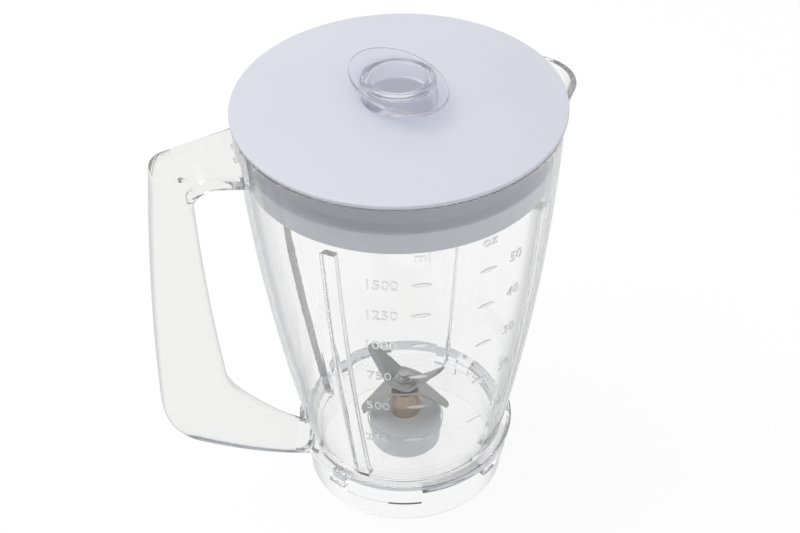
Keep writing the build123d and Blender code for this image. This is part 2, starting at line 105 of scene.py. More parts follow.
class JarSizes(bpy.types.PropertyGroup):
    """Sizes of the clear jar moulding, without its handle"""

    wall: length("Wall", "Thickness of the jar's wall", 2.6)
    rim_radius: length("Rim radius", "Outer radius of the wall at the rim", 72.6)
    foot_radius: length("Foot radius", "Outer radius of the wall where it meets the flange", 49.0)
    bulge: length("Bulge", "How far the wall bows out of a straight cone", 4.1)
    rim_round: length("Rim round", "Radius on the two edges of the rim", 1.2)
    skirt_radius: length("Skirt radius", "Outer radius of the skirt under the flange", 49.1)
    skirt_wall: length("Skirt wall", "Thickness of the skirt", 2.4)
    flange_radius: length("Flange radius", "Outer radius of the foot flange", 53.8)
    flange_bottom: length("Flange height", "Height of the flange's underside", 23.2)
    flange_thickness: length("Flange thickness", "Thickness of the foot flange", 4.4)
    flange_round: length("Flange round", "Radius on the edges of the flange", 0.9)
    floor_top: length("Floor height", "Height of the floor's upper face", 25.0)
    floor_thickness: length("Floor thickness", "Thickness of the floor", 2.8)
    floor_round: length("Floor round", "Radius between the wall and the floor", 4.0)
    floor_ring: length("Floor ring", "Radius at which the plain floor begins inside the ribs", 36.0)
    edge_round: length("Edge round", "Small radius on the other edges of the moulding", 0.5)
    lug_count: IntProperty(name="Lugs", description="Number of bayonet lugs round the skirt", default=4)
    lug_radius: length("Lug radius", "Outer radius of the bayonet lugs", 51.3)
    lug_height: length("Lug height", "How far a lug hangs below the flange", 9.6)
    lug_start: turn("Lug start", "Azimuth at which one lug begins", -143.0)
    lug_span: turn("Lug span", "Angle that a lug takes up", 43.0)
    stop_height: length("Stop height", "How far the stop of a lug hangs below the flange", 4.6)
    stop_span: turn("Stop span", "Angle that the stop of a lug takes up", 10.0)
    rib_count: IntProperty(name="Ribs", description="Number of flow ribs inside the wall", default=4)
    rib_start: turn("Rib azimuth", "Azimuth of one flow rib", 45.0)
    rib_width: length("Rib width", "Width of a flow rib", 6.4)
    rib_depth: length("Rib depth", "How far a flow rib stands in from the wall", 4.4)
    rib_top_gap: length("Rib gap", "Distance from a rib's top to the lid's plug", 5.0)
    spout_radius: length("Spout radius", "Radius of the spout's nose at the rim", 22.0)
    spout_drop: length("Spout drop", "Height of the spout below the rim", 48.0)
    spout_foot_radius: length("Spout foot radius", "Radius of the spout's nose at its foot", 10.0)
    spout_blend: length("Spout blend", "Width of the soft turn between wall and spout", 6.0)
    tower_inner: length("Tower radius", "Inner radius of the drive tower", 18.3)
    tower_head_gap: length("Tower head gap", "Room over the drive coupling", 1.2)
    tower_wall: length("Tower wall", "Thickness of the drive tower's side", 0.8)
    tower_top_wall: length("Tower top", "Thickness of the drive tower's top", 2.2)
    tower_round: length("Tower round", "Radius on the shoulder of the drive tower", 5.0)
    tower_foot_round: length("Tower foot round", "Radius between the drive tower and the floor", 1.4)
    boss_foot_radius: length("Boss foot radius", "Radius of the bearing boss at its foot", 8.6)
    boss_top_radius: length("Boss top radius", "Radius of the bearing boss at its top", 7.0)
    boss_height: length("Boss height", "Height of the bearing boss", 5.0)
    bore_radius: length("Bore radius", "Radius of the bore that grips the bearing bush", 5.5)


class HandleSizes(bpy.types.PropertyGroup):
    """Sizes of the hollow handle, with reaches measured from the jar's axis"""

    reach: length("Reach", "Furthest reach of the handle's elbow", 121.0)
    width: length("Width", "Width of the handle at the rim", 26.0)
    foot_width: length("Foot width", "Width that the sides taper to at the foot", 16.0)
    wall: length("Wall", "Thickness of the trough's walls", 1.8)
    edge_round: length("Edge round", "Radius of the long edges, seen from the side", 7.0)
    edge_share: FloatProperty(
        name="Edge share", description="Share of the width that the round takes", default=0.85
    )
    rim_round: length("Rim round", "Radius on the edges of the trough's rim", 0.6)
    grip_lean: length("Grip lean", "How far the grip's head stands in from its elbow", 11.0)
    grip_bulge: length("Grip bulge", "Bow of the grip's back", 2.4)
    grip_top: length("Grip top", "Thickness of the grip at the arm", 15.5)
    grip_foot: length("Grip foot", "Thickness of the grip at the foot of the finger gap", 33.0)
    arm_depth: length("Arm depth", "Depth of the arm under the rim, at the jar", 21.0)
    arm_rise: length("Arm rise", "How far the arm's underside rises to the grip", 5.0)
    arm_drop: length("Arm drop", "How far the arm's rim starts below the jar's", 1.3)
    arm_fall: length("Arm fall", "How far the arm's rim falls to its outer end", 6.0)
    arm_floor: length("Arm floor", "Thickness of the trough's floor", 2.8)
    trough_round: length("Trough round", "Radius of the trough's outer corner", 6.0)
    elbow_height: length("Elbow height", "Height of the elbow", 58.0)
    elbow_round: length("Elbow round", "Radius of the elbow", 26.0)
    gap_foot_height: length("Gap foot", "Height of the finger gap's lower end", 76.0)
    gap_bulge: length("Gap bulge", "Bow of the grip's inner side", 1.6)
    gap_corner_round: length("Gap corner", "Radius of the finger gap's upper corner", 7.0)
    gap_foot_round: length("Gap foot round", "Radius of the finger gap's lower corner", 30.0)
    foot_low: length("Foot low", "Height of the foot's underside at the jar", 17.0)
    foot_high: length("Foot high", "Height of the foot's upper side at the jar", 32.5)
    foot_sag: length("Foot sag", "Bow of the foot's two sides", 4.5)
    pocket_step: length("Pocket step", "How much narrower the pocket is than the trough", 0.6)
    pocket_drop: length("Pocket drop", "Depth of the pocket's floor under the gap's foot", 6.0)
    pocket_round: length("Pocket round", "Radius of the pocket's lower corners", 12.0)
    mouth_round: length("Mouth round", "Radius where the pocket's inner side meets the trough", 8.0)


class ScaleSizes(bpy.types.PropertyGroup):
    """Sizes of the measuring scale that is moulded on the jar's outside"""

    azimuth: turn("Azimuth", "Middle of the scale", -89.0)
    tick_offset: length("Tick offset", "Distance of the ticks from the middle of the scale", 15.2)
    tick_length: length("Tick length", "Length of a tick", 8.6)
    tick_height: length("Tick height", "Height of a tick in its middle", 2.0)
    millilitre_offset: length(
        "Millilitre offset", "Distance of the millilitre numbers from the middle", 32.6
    )
    ounce_offset: length("Ounce offset", "Distance of the ounce numbers from the middle", 30.6)
    text_size: length("Text size", "Size of the numbers", 7.6)
    heading_height: length("Heading height", "Height of the two headings", 187.0)
    relief: length("Relief", "How far the marks stand out of the wall", 0.4)
    sink: length("Sink", "How far the marks are carried into the wall", 0.5)


class LidSizes(bpy.types.PropertyGroup):
    """Sizes of the lid, its plug and its sealing ring"""

    edge: length("Edge", "Height of the lid's edge over the jar's rim", 3.0)
    lip: length("Lip", "Thickness of the lid at its very edge", 1.6)
    bevel_width: length("Bevel width", "Width of the slope under the lid's edge", 3.2)
    wall: length("Wall", "Thickness of the lid", 2.4)
    edge_round: length("Edge round", "Radius on the lid's edge", 0.6)
    plug_clearance: length("Plug clearance", "Room between the plug's end and the wall", 0.9)
    plug_round: length("Plug round", "Radius on the plug's lower edge", 0.8)
    seal_seat: length("Seal seat", "Depth of the groove that holds the sealing ring", 1.6)
    seal_lip: length("Seal lip", "Height of the sealing ring's lip", 1.4)
    seal_flare: length("Seal flare", "Height over which the sealing ring flares out to its lip", 4.0)
    seal_neck: length("Seal neck", "Thickness of the sealing ring over its flare", 0.5)
    seal_round: length("Seal round", "Radius on the sealing ring's lip", 0.5)
    hole_radius: length("Hole radius", "Radius of the filler hole", 15.1)
    collar_wall: length("Collar wall", "Thickness of the collar round the filler hole", 2.2)
    collar_depth: length("Collar depth", "Depth of the collar round the filler hole", 12.0)
    seat_width: length("Seat width", "Width of the flat ring that the cap rests on", 3.4)


class CapSizes(bpy.types.PropertyGroup):
    """Sizes of the clear filler cap"""

    radius: length("Radius", "Radius of the cap's top", 16.2)
    plug_radius: length("Plug radius", "Radius of the part inside the filler hole", 14.75)
    wall: length("Wall", "Thickness of the cap", 1.8)
    edge_round: length("Edge round", "Radius on the cap's top edge", 1.2)
    brim_length: length("Brim length", "Length of the oval brim", 56.8)
    brim_breadth: length("Brim breadth", "Breadth of the oval brim", 36.8)
    brim_thickness: length("Brim thickness", "Thickness of the oval brim", 2.0)
    brim_drop: length("Brim drop", "Distance from the cap's top to the brim", 2.0)
    brim_azimuth: turn("Brim azimuth", "Direction of the brim's long axis", -77.0)


class BladeSizes(bpy.types.PropertyGroup):
    """Sizes of the two stamped blades and the nut that clamps them"""

    thickness: length("Thickness", "Thickness of the steel", 1.5)
    ground_width: length("Ground width", "Width of the ground cutting edge", 2.4)
    ground_edge: length("Ground edge", "Thickness that is left at the cutting edge", 0.35)
    bend_round: length("Bend round", "Length over which a wing bends", 2.0)
    sweep: length("Sweep", "How far a wing's tip sweeps to one side", 1.5)
    upper_azimuth: turn("Upper azimuth", "Direction of the upper blade's steeper wing", 133.0)
    upper_flat: length("Upper flat", "Half length of the upper blade's flat middle", 6.0)
    upper_steep: turn("Upper steep", "Bend of the upper blade's steeper wing", 53.0)
    upper_shallow: turn("Upper shallow", "Bend of the upper blade's other wing", 46.0)
    upper_wing: length("Upper wing", "Length of an upper wing", 21.5)
    upper_root: length("Upper root", "Width of the upper blade at its middle", 15.0)
    upper_tip: length("Upper tip", "Width of the upper blade at its tips", 5.0)
    upper_tip_round: length("Upper tip round", "Length of the upper blade's round tips", 2.5)
    lower_azimuth: turn("Lower azimuth", "Direction of one of the lower blade's wings", -18.0)
    lower_flat: length("Lower flat", "Half length of the lower blade's flat middle", 6.5)
    lower_bend: turn("Lower bend", "Bend of the lower blade's wings", 46.5)
    lower_wing: length("Lower wing", "Length of a lower wing", 21.2)
    lower_root: length("Lower root", "Width of the lower blade at its middle", 14.5)
    lower_tip: length("Lower tip", "Width of the lower blade at its tips", 5.5)
    lower_tip_round: length("Lower tip round", "Length of the lower blade's round tips", 0.6)
    nut_flats: length("Nut flats", "Width of the nut across its flats", 6.0)
    nut_height: length("Nut height", "Height of the nut's six sides", 1.2)
    nut_dome: length("Nut dome", "Height of the dome over the nut", 0.4)


class Finishes(bpy.types.PropertyGroup):
    """Colours of the jar's materials"""

    clear: colour("Clear plastic", "Tint of the jar's body, its scale and its drive tower", "FAFAFA")
    # Painted shade: the handle is the body's clear plastic tinted a little greyer, for the grey that its
    # hollow walls show
    handle: colour("Handle", "Tint of the handle's thin walls", "F0F0EF")
    # Painted shade: dark grey painted on the clear plastics where they are seen edge-on, for the dark lines
    # along their edges
    edge: colour("Plastic edge", "Colour of the clear plastic seen along its skin", "4A505C")
    thick: colour("Thick plastic", "Colour of the clear plastic in the thick flange", "A4A6AB")
    # Painted shade: the flange's clear plastic is tinted dark grey for the dark streaks that its thick edge
    # reflects and refracts
    cap: colour("Cap plastic", "Colour of the clear plastic of the cap", "F0F0F6")
    lid: colour("Lid", "Colour of the lid", "D0D3DC")
    # Painted shade: the sealing ring is coloured greyer than the lid for the shadow that falls on it under
    # the lid's edge
    seal: colour("Lid seal", "Colour of the sealing ring", "B0B3BE")
    bronze: colour("Bush", "Colour of the sintered bush", "C4AE98")
    rubber: colour("Shaft seal", "Colour of the shaft seal", "2B2928")
    steel: colour("Spindle steel", "Colour of the turned steel", "B4B4B2")
    blade: colour("Blade steel", "Colour of the blasted blades", "A6A6A4")
    washer: colour("Thrust washer", "Colour of the thrust washer", "E6E4DC")
    # Painted light: the coupling is coloured lighter than its own mid grey, to make up for the light that
    # the clear tower around it keeps out
    coupling: colour("Coupling", "Colour of the drive coupling", "E2E4E8")
    near_air: colour("Near air", "Colour of the tent behind the camera, as clear edges show it", "8C94A6")
    room_light: colour("Room light", "Level of the light from all round on plain surfaces", "BCBCBC")
    floor: colour("Floor", "Colour of the studio floor", "F4F4F4")


class Studio(bpy.types.PropertyGroup):
    """Place of the camera and strength of the light"""

    camera_place: room_place("Camera", "Where the camera stands", (-0.1792, -0.5483, 0.6072))
    camera_heading: turn("Heading", "Azimuth that the camera looks along", 72.0)
    camera_pitch: turn("Pitch", "How far the camera looks down", 40.01)
    camera_roll: turn("Roll", "How far the level lines rise to the right", 1.32)
    lens: FloatProperty(
        name="Lens", description="Focal length in millimetres", default=72.0, subtype="DISTANCE_CAMERA"
    )
    sensor: FloatProperty(
        name="Sensor", description="Sensor width in millimetres", default=36.0, subtype="DISTANCE_CAMERA"
    )
    floor_size: length("Floor size", "Side of the square floor", 6000.0)
    key_watts: power("Key light", "Strength of the overhead softbox", 9.0)
    key_size: length("Key size", "Side of the overhead softbox", 900.0)
    key_place: room_place("Key place", "Where the overhead softbox hangs", (-0.4, 0.2, 1.3))
    fill_watts: power("Fill light", "Strength of the front softbox", 2.5)
    fill_size: length("Fill size", "Side of the front softbox", 800.0)
    fill_place: room_place("Fill place", "Where the front softbox stands", (0.5, -1.1, 0.9))


# Mesh helpers


def circle_through(start, middle, end):
    """Centre and radius of the circle through three points"""
    (ax, ay), (bx, by), (cx, cy) = start, middle, end
    a2, b2, c2 = ax * ax + ay * ay, bx * bx + by * by, cx * cx + cy * cy
    twice = 2 * (ax * (by - cy) + bx * (cy - ay) + cx * (ay - by))
    centre = Vector((
        (a2 * (by - cy) + b2 * (cy - ay) + c2 * (ay - by)) / twice,
        (a2 * (cx - bx) + b2 * (ax - cx) + c2 * (bx - ax)) / twice,
    ))
    return centre, (Vector(start) - centre).length


class WallArc:
    """The arc that the jar's outer wall follows, from the flange to the rim"""

    def __init__(self, jar):
        self.foot = jar.flange_bottom + jar.flange_thickness
        middle = ((jar.foot_radius + jar.rim_radius) / 2 + jar.bulge, (self.foot + jar_height) / 2)
        ends = (jar.foot_radius, self.foot), (jar.rim_radius, jar_height)
        self.centre, self.bend = circle_through(ends[0], middle, ends[1])

    def radius(self, height, depth=0.0):
        """Radius of the surface that lies this deep inside the outer wall, at a height"""
        return self.centre.x + sqrt((self.bend - depth) ** 2 - (height - self.centre.y) ** 2)


def corner_arc(before, here, after, radius, steps):
    """Points of the arc that rounds the corner between two straight sides"""
    to_before = (before - here).normalized()
    to_after = (after - here).normalized()
    half = to_before.angle(to_after) / 2
    centre = here + (to_before + to_after).normalized() * radius / sin(half)
    run = radius / tan(half)
    spoke = here + to_before * run - centre
    end = here + to_after * run - centre
    sweep = atan2(spoke.cross(end), spoke.dot(end))
    return [centre + Matrix.Rotation(sweep * step / steps, 2) @ spoke for step in range(steps + 1)]


def rounded(corners, steps=6):
    """Closed outline through corners (across, up, round, tag), as points (across, up, tag)"""
    outline = []
    for index, (across, up, radius, tag) in enumerate(corners):
        here = Vector((across, up))
        if radius:
            before = Vector(corners[index - 1][:2])
            after = Vector(corners[(index + 1) % len(corners)][:2])
            outline += [(*point, tag) for point in corner_arc(before, here, after, radius, steps)]
        else:
            outline.append((across, up, tag))
    return outline


def mesh_piece(name, vertices, faces):
    """New mesh object at the origin, with its faces turned outwards"""
    mesh = bpy.data.meshes.new(name)
    mesh.from_pydata(vertices, [], faces)
    work = bmesh.new()
    work.from_mesh(mesh)
    bmesh.ops.recalc_face_normals(work, faces=work.faces)
    work.to_mesh(mesh)
    work.free()
    piece = bpy.data.objects.new(name, mesh)
    bpy.context.scene.collection.objects.link(piece)
    return piece


def grid_piece(name, rows, columns, place):
    """Mesh closed round both ways, from rows of a profile and columns round the axis"""
    vertices = [place(row, column) for row in rows for column in columns]
    wide = len(columns)
    tall = len(rows)
    faces = []
    for low in range(tall):
        high = (low + 1) % tall
        for left in range(wide):
            right = (left + 1) % wide
            faces.append((low * wide + left, low * wide + right, high * wide + right, high * wide + left))
    return mesh_piece(name, vertices, faces)


def spun(radius, azimuth, height):
    """Point at a radius, an azimuth and a height"""
    return radius * cos(azimuth), radius * sin(azimuth), height


def turned(name, outline, count=256):
    """Mesh of a closed outline turned about the jar's axis"""
    azimuths = [2 * pi * index / count for index in range(count)]
    return grid_piece(name, outline, azimuths, lambda row, azimuth: spun(row[0], azimuth, row[1]))


def combine(body, other, operation):
    """Joins a mesh to another or cuts it, and deletes the other"""
    modifier = body.modifiers.new("combine", "BOOLEAN")
    modifier.operation = operation
    modifier.solver = "EXACT"
    modifier.object = other
    result = bpy.data.meshes.new_from_object(body.evaluated_get(bpy.context.evaluated_depsgraph_get()))
    if len(result.polygons) == 0:
        raise RuntimeError(f"{operation} left nothing of {body.name}")
    body.modifiers.clear()
    spent = [body.data, other.data]
    body.data = result
    result.name = body.name
    bpy.data.objects.remove(other)
    for mesh in spent:
        bpy.data.meshes.remove(mesh)


def shade(piece, sharp=35.0):
    """Shades a piece smooth, but for the edges that turn by more than an angle in degrees"""
    piece.data.shade_smooth()
    piece.data.set_sharp_from_angle(angle=radians(sharp))


def dress(piece, material, body=JAR_BODY, node=None):
    """Gives a piece its material, its slot and the body that it rides on, and hides the node that it stands
    for
    """
    piece.data.materials.clear()
    piece.data.materials.append(material)
    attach(piece, body)
    if node:
        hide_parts(node)


# Materials

# Refraction of the clear plastic. Styrene has 1.57, and most of the jar takes less, so that its dark lines
# stay as thin as the photograph has them.
FLANGE_IOR = 1.57
MARKS_IOR = 1.5
CAP_IOR = 1.45
BODY_IOR = 1.4
THIN_WALL_IOR = 1.2

# Refraction of the opaque plastics, of which only the gloss shows
OPAQUE_IOR = 1.49

# Share of frost on the etched marks and in the cap
MARKS_FROST = 0.3
CAP_FROST = 0.1

# Share of the lamps' light that passes straight through clear plastic
LAMP_SHARE = 0.93

# Share of the rays caught between its walls that are let out, and number of walls after which all are
FREED_SHARE = 0.15
DEEPEST_WALL = 8.0

# Slant, from facing to edge-on, at which the painted edge shade begins to darken the clear plastic
EDGE_SHADE_START = 0.55

# Sizes in millimetres of the waves in clear plastic, the clouds in opaque plastic and the floor's mottle
FLOW_MM = 14
CLOUD_MM = 60
MOTTLE_MM = 400

WHITE = (1.0, 1.0, 1.0, 1.0)


def per_metre(millimetres):
    """Scale of a pattern whose features are this many millimetres across"""
    return 1 / (millimetres * MM)


def add_node(tree, kind, settings=None, inputs=None):
    """Adds a node, with its settings and with its inputs set to values or linked to outputs or nodes"""
    node = tree.nodes.new(kind)
    for name, value in (settings or {}).items():
        setattr(node, name, value)
    for name, value in (inputs or {}).items():
        if isinstance(value, bpy.types.Node):
            value = next(output for output in value.outputs if output.enabled)
        if isinstance(value, bpy.types.NodeSocket):
            tree.links.new(value, node.inputs[name])
        else:
            node.inputs[name].default_value = value
    return node


def new_material(name):
    """Empty node material, with its tree and the object coordinates that its patterns follow"""
    material = bpy.data.materials.new(name)
    material.use_nodes = True
    tree = material.node_tree
    tree.nodes.clear()
    place = add_node(tree, "ShaderNodeTexCoord").outputs["Object"]
    return material, tree, place


def opaque_colour(value):
    """Colour with the alpha that a socket wants"""
    return (*value, 1.0)


def toned(finish, factor):
    """Finish made darker or lighter by a factor, with the alpha that a socket wants"""
    return opaque_colour([min(1.0, share * factor) for share in finish])


def clear_moulded_plastic(name, finish, edge, ior, frost=0.0):
    """Clear styrene plastic from a polished mould, with a share of frost where the mould was etched"""
    # Polished tool: glass-clear, with the faint waviness that the melt's flow leaves in thick walls.
    material, tree, place = new_material(name)
    flow = add_node(tree, "ShaderNodeTexNoise", inputs={
        "Vector": place, "Scale": per_metre(FLOW_MM), "Detail": 2.0,
    })
    haze = add_node(tree, "ShaderNodeMapRange", inputs={
        "Value": flow, "To Min": frost, "To Max": frost + 0.03,
    })
    waves = add_node(tree, "ShaderNodeBump", inputs={
        "Height": flow, "Strength": 0.06, "Distance": 0.4 * MM,
    })
    # Painted shade: seen along its skin the plastic turns to the edge colour, which draws the thin grey line
    # round each edge that reflection and refraction of the dark surroundings give.
    slant = add_node(tree, "ShaderNodeLayerWeight", inputs={"Blend": 0.5}).outputs["Facing"]
    skin = add_node(tree, "ShaderNodeMapRange", {"interpolation_type": "SMOOTHSTEP"}, {
        "Value": slant, "From Min": EDGE_SHADE_START, "From Max": 1.0,
    })
    tint = add_node(tree, "ShaderNodeMix", {"data_type": "RGBA"}, {
        "Factor": skin, "A": opaque_colour(finish), "B": opaque_colour(edge),
    })
    plastic = add_node(tree, "ShaderNodeBsdfPrincipled", inputs={
        "Base Color": tint,
        "Transmission Weight": 1.0 - frost,
        "IOR": ior,
        "Roughness": haze,
        "Normal": waves,
    })
    # Light from the lamps and from all round passes straight through, so no bright rings fall on the lid.
    lit = add_node(tree, "ShaderNodeBsdfTransparent", inputs={"Color": opaque_colour(finish)})
    path = add_node(tree, "ShaderNodeLightPath").outputs
    lighting = add_node(tree, "ShaderNodeMath", {"operation": "MAXIMUM"}, {
        0: path["Is Shadow Ray"], 1: path["Is Diffuse Ray"],
    })
    straight = add_node(tree, "ShaderNodeMath", {"operation": "MULTIPLY"}, {0: lighting, 1: LAMP_SHARE})
    # Rays caught between the walls are let out, or the thick edges would turn black.
    deep = add_node(tree, "ShaderNodeMath", {"operation": "GREATER_THAN"}, {
        0: path["Transmission Depth"], 1: DEEPEST_WALL,
    })
    caught = add_node(tree, "ShaderNodeMath", {"operation": "GREATER_THAN"}, {
        0: path["Glossy Depth"], 1: 1.0,
    })
    some = add_node(tree, "ShaderNodeMath", {"operation": "MULTIPLY"}, {0: caught, 1: FREED_SHARE})
    freed = add_node(tree, "ShaderNodeMath", {"operation": "MAXIMUM"}, {0: deep, 1: some})
    through = add_node(tree, "ShaderNodeMath", {"operation": "MAXIMUM"}, {0: straight, 1: freed})
    mixed = add_node(tree, "ShaderNodeMixShader", inputs={"Fac": through, 1: plastic, 2: lit})
    add_node(tree, "ShaderNodeOutputMaterial", inputs={"Surface": mixed})
    return material


def textured_plastic(name, finish, grain_mm, roughness, depth_mm):
    """Opaque plastic from a mould with an etched grain"""
    # Etched tool: even colour with a soft gloss, broken by a fine grain that shows only close to.
    # The grain is drawn coarser than a real one, which would be too fine to show.
    material, tree, place = new_material(name)
    grain = add_node(tree, "ShaderNodeTexNoise", inputs={
        "Vector": place, "Scale": per_metre(grain_mm), "Detail": 3.0,
    })
    cloud = add_node(tree, "ShaderNodeTexNoise", inputs={
        "Vector": place, "Scale": per_metre(CLOUD_MM), "Detail": 2.0,
    })
    tint = add_node(tree, "ShaderNodeMix", {"data_type": "RGBA"}, {
        "Factor": cloud, "A": toned(finish, 0.96), "B": toned(finish, 1.03),
    })
    gloss = add_node(tree, "ShaderNodeMapRange", inputs={
        "Value": grain, "To Min": roughness - 0.06, "To Max": roughness + 0.06,
    })
    relief = add_node(tree, "ShaderNodeBump", inputs={
        "Height": grain, "Strength": 0.25, "Distance": depth_mm * MM,
    })
    plastic = add_node(tree, "ShaderNodeBsdfPrincipled", inputs={
        "Base Color": tint, "Roughness": gloss, "Normal": relief, "IOR": OPAQUE_IOR,
    })
    add_node(tree, "ShaderNodeOutputMaterial", inputs={"Surface": plastic})
    return material


def metal(name, finish, grain_mm, stretch, roughness, depth_mm):
    """Metal whose grain is drawn out along the axis by a stretch"""
    # Cut or blasted metal: a grey mirror broken up by its grain, with soft patches and no clear image.
    # The grain is drawn coarser than a real one, which would be too fine to show.
    material, tree, place = new_material(name)
    drawn = add_node(tree, "ShaderNodeMapping", inputs={"Vector": place, "Scale": (1.0, 1.0, stretch)})
    grain = add_node(tree, "ShaderNodeTexNoise", inputs={
        "Vector": drawn, "Scale": per_metre(grain_mm), "Detail": 4.0,
    })
    tint = add_node(tree, "ShaderNodeMix", {"data_type": "RGBA"}, {
        "Factor": grain, "A": toned(finish, 0.88), "B": toned(finish, 1.1),
    })
    gloss = add_node(tree, "ShaderNodeMapRange", inputs={
        "Value": grain, "To Min": roughness - 0.08, "To Max": roughness + 0.08,
    })
    relief = add_node(tree, "ShaderNodeBump", inputs={
        "Height": grain, "Strength": 0.3, "Distance": depth_mm * MM,
    })
    surface = add_node(tree, "ShaderNodeBsdfPrincipled", inputs={
        "Base Color": tint, "Metallic": 1.0, "Roughness": gloss, "Normal": relief,
    })
    add_node(tree, "ShaderNodeOutputMaterial", inputs={"Surface": surface})
    return material


# Jar


def smooth_max(one, other, blend):
    """Larger of two values, with a soft turn where they are close"""
    near = max(blend - abs(one - other), 0.0) / blend
    return max(one, other) + near * near * blend / 4


# Half of a flow rib's section, as shares of its half width and of its depth
RIB_SECTION = (
    (0.0, 1.0), (0.5, 1.0), (0.8, 1.0), (0.9, 0.96), (0.96, 0.84), (0.99, 0.62), (1.01, 0.34), (1.05, 0.1),
    (1.12, 0.02), (1.3, 0.0),
)


# Finishes of the jar's moulding, in the order of its materials
BODY, HANDLE, MARKS, FLANGE, TOWER = range(5)

# Half of the angle round the jar, in radians, in which raised faces belong to the scale
SCALE_SPAN = 1.0


class JarForm:
    """Radii of the jar's surfaces at every height and azimuth"""

    def __init__(self, jar):
        self.jar = jar
        self.wall = WallArc(jar)
        self.rib_top = plug_bottom - jar.rib_top_gap
        self.lug_pitch = 2 * pi / jar.lug_count
        self.spout_foot = jar_height - jar.spout_drop
        self.spout_foot_centre = self.wall.radius(self.spout_foot) - jar.wall / 2 - jar.spout_foot_radius

    def spout(self, azimuth, height, depth):
        """Reach of the leaning cone that forms the spout, or nothing where it isn't met"""
        jar = self.jar
        share = (height - self.spout_foot) / jar.spout_drop
        centre = self.spout_foot_centre + share * (spout_reach - jar.spout_radius - self.spout_foot_centre)
        radius = jar.spout_foot_radius + share * (jar.spout_radius - jar.spout_foot_radius) - depth
        inside = radius ** 2 - (centre * sin(azimuth)) ** 2
        if share < 0 or inside < 0 or cos(azimuth) < 0:
            return 0.0
        return centre * cos(azimuth) + sqrt(inside)

    def rib(self, height, share):
        """Depth of a flow rib at a height and at a share of its section"""
        edge = self.jar.edge_round * 2
        climb = min(max((self.rib_top - height) / edge, 0.0), 1.0)
        return self.jar.rib_depth * share * sqrt(1 - (1 - climb) ** 2)

    def lug(self, azimuth, height, radius):
        """Outer radius of the skirt, its lugs and their stops"""
        jar = self.jar
        past = (azimuth - jar.lug_start) % self.lug_pitch
        if past < jar.lug_span and height > jar.flange_bottom - jar.lug_height:
            return jar.lug_radius
        if past > self.lug_pitch - jar.stop_span and height > jar.flange_bottom - jar.stop_height:
            return jar.flange_radius
        return radius

    def columns(self):
        """Columns round the jar as (azimuth, offset, rib share), closer at the ribs and the lugs' ends"""
        jar = self.jar
        pitch = 2 * pi / jar.rib_count
        margin = radians(6.5)
        hair = radians(0.12)
        count = 52
        ends = [jar.lug_start, jar.lug_start + jar.lug_span, jar.lug_start - jar.stop_span]
        ends = [(end - jar.rib_start) % pitch for end in ends]
        plain = [margin + (pitch - 2 * margin) * index / count for index in range(count + 1)]
        plain = [angle for angle in plain if min(abs(angle - end) for end in ends) > 4 * hair]
        plain += [end + side * hair for end in ends for side in (-1, 1)]
        across = [(-offset, share) for offset, share in reversed(RIB_SECTION[1:])] + list(RIB_SECTION)
        columns = []
        for index in range(jar.rib_count):
            centre = jar.rib_start + index * pitch
            columns += [(centre, offset * jar.rib_width / 2, share) for offset, share in across]
            columns += [(centre + angle, 0.0, 0.0) for angle in sorted(plain)]
        return columns

    def rows(self):
        """Profile of the turned body: up the outside, over the rim, down the inside and back underneath"""
        jar = self.jar
        hair = 0.1 * MM
        skirt_inner = jar.skirt_radius - jar.skirt_wall
        floor_under = jar.floor_top - jar.floor_thickness
        flange_top = self.wall.foot
        ceiling = coupling_top + jar.tower_head_gap
        tower_inner = jar.tower_inner
        tower_outer = tower_inner + jar.tower_wall
        tower_top = ceiling + jar.tower_top_wall
        boss_top = tower_top + jar.boss_height
        edge = jar.edge_round
        corners = [(skirt_inner, 0, edge, "plain"), (jar.skirt_radius, 0, edge, "plain")]
        for drop in (jar.lug_height, jar.stop_height):
            start = jar.flange_bottom - drop
            corners += [(jar.skirt_radius, start + rise, 0, "skirt") for rise in (-hair, hair, edge)]
        corners += [
            (jar.skirt_radius, jar.flange_bottom, 0, "skirt"),
            (jar.flange_radius, jar.flange_bottom, jar.flange_round, "skirt"),
            (jar.flange_radius, flange_top, jar.flange_round, "plain"),
            (jar.foot_radius, flange_top, edge, "plain"),
        ]
        steps = 44
        heights = [flange_top + (jar_height - flange_top) * index / steps for index in range(1, steps)]
        corners += [(self.wall.radius(height), height, 0, "outside") for height in heights]
        corners += [
            (self.wall.radius(jar_height), jar_height, jar.rim_round, "outside"),
            (self.wall.radius(jar_height, jar.wall), jar_height, jar.rim_round, "inside"),
        ]
        rib_end = [self.rib_top - edge * drop for drop in (-0.4, 0.02, 0.15, 0.5, 1.0, 2.0)]
        inner = [height for height in heights if abs(height - self.rib_top) > 3 * edge]
        inner = [height for height in inner if height > jar.floor_top + 2 * jar.floor_round] + rib_end
        corners += [(self.wall.radius(h, jar.wall), h, 0, "inside") for h in sorted(inner, reverse=True)]
        corners += [
            (self.wall.radius(jar.floor_top, jar.wall), jar.floor_top, jar.floor_round, "inside"),
            (jar.floor_ring, jar.floor_top, 0, "plain"),
            (tower_outer, jar.floor_top, jar.tower_foot_round, "plain"),
            (tower_outer, tower_top, jar.tower_round, "plain"),
            (jar.boss_foot_radius, tower_top, edge, "plain"),
            (jar.boss_top_radius, boss_top, edge, "plain"),
            (jar.bore_radius, boss_top, 0, "plain"),
            (jar.bore_radius, ceiling, 0, "plain"),
            (tower_inner, ceiling, jar.tower_round - jar.tower_wall, "plain"),
            (tower_inner, floor_under, edge, "plain"),
            (skirt_inner, floor_under, edge, "plain"),
        ]
        return rounded(corners)

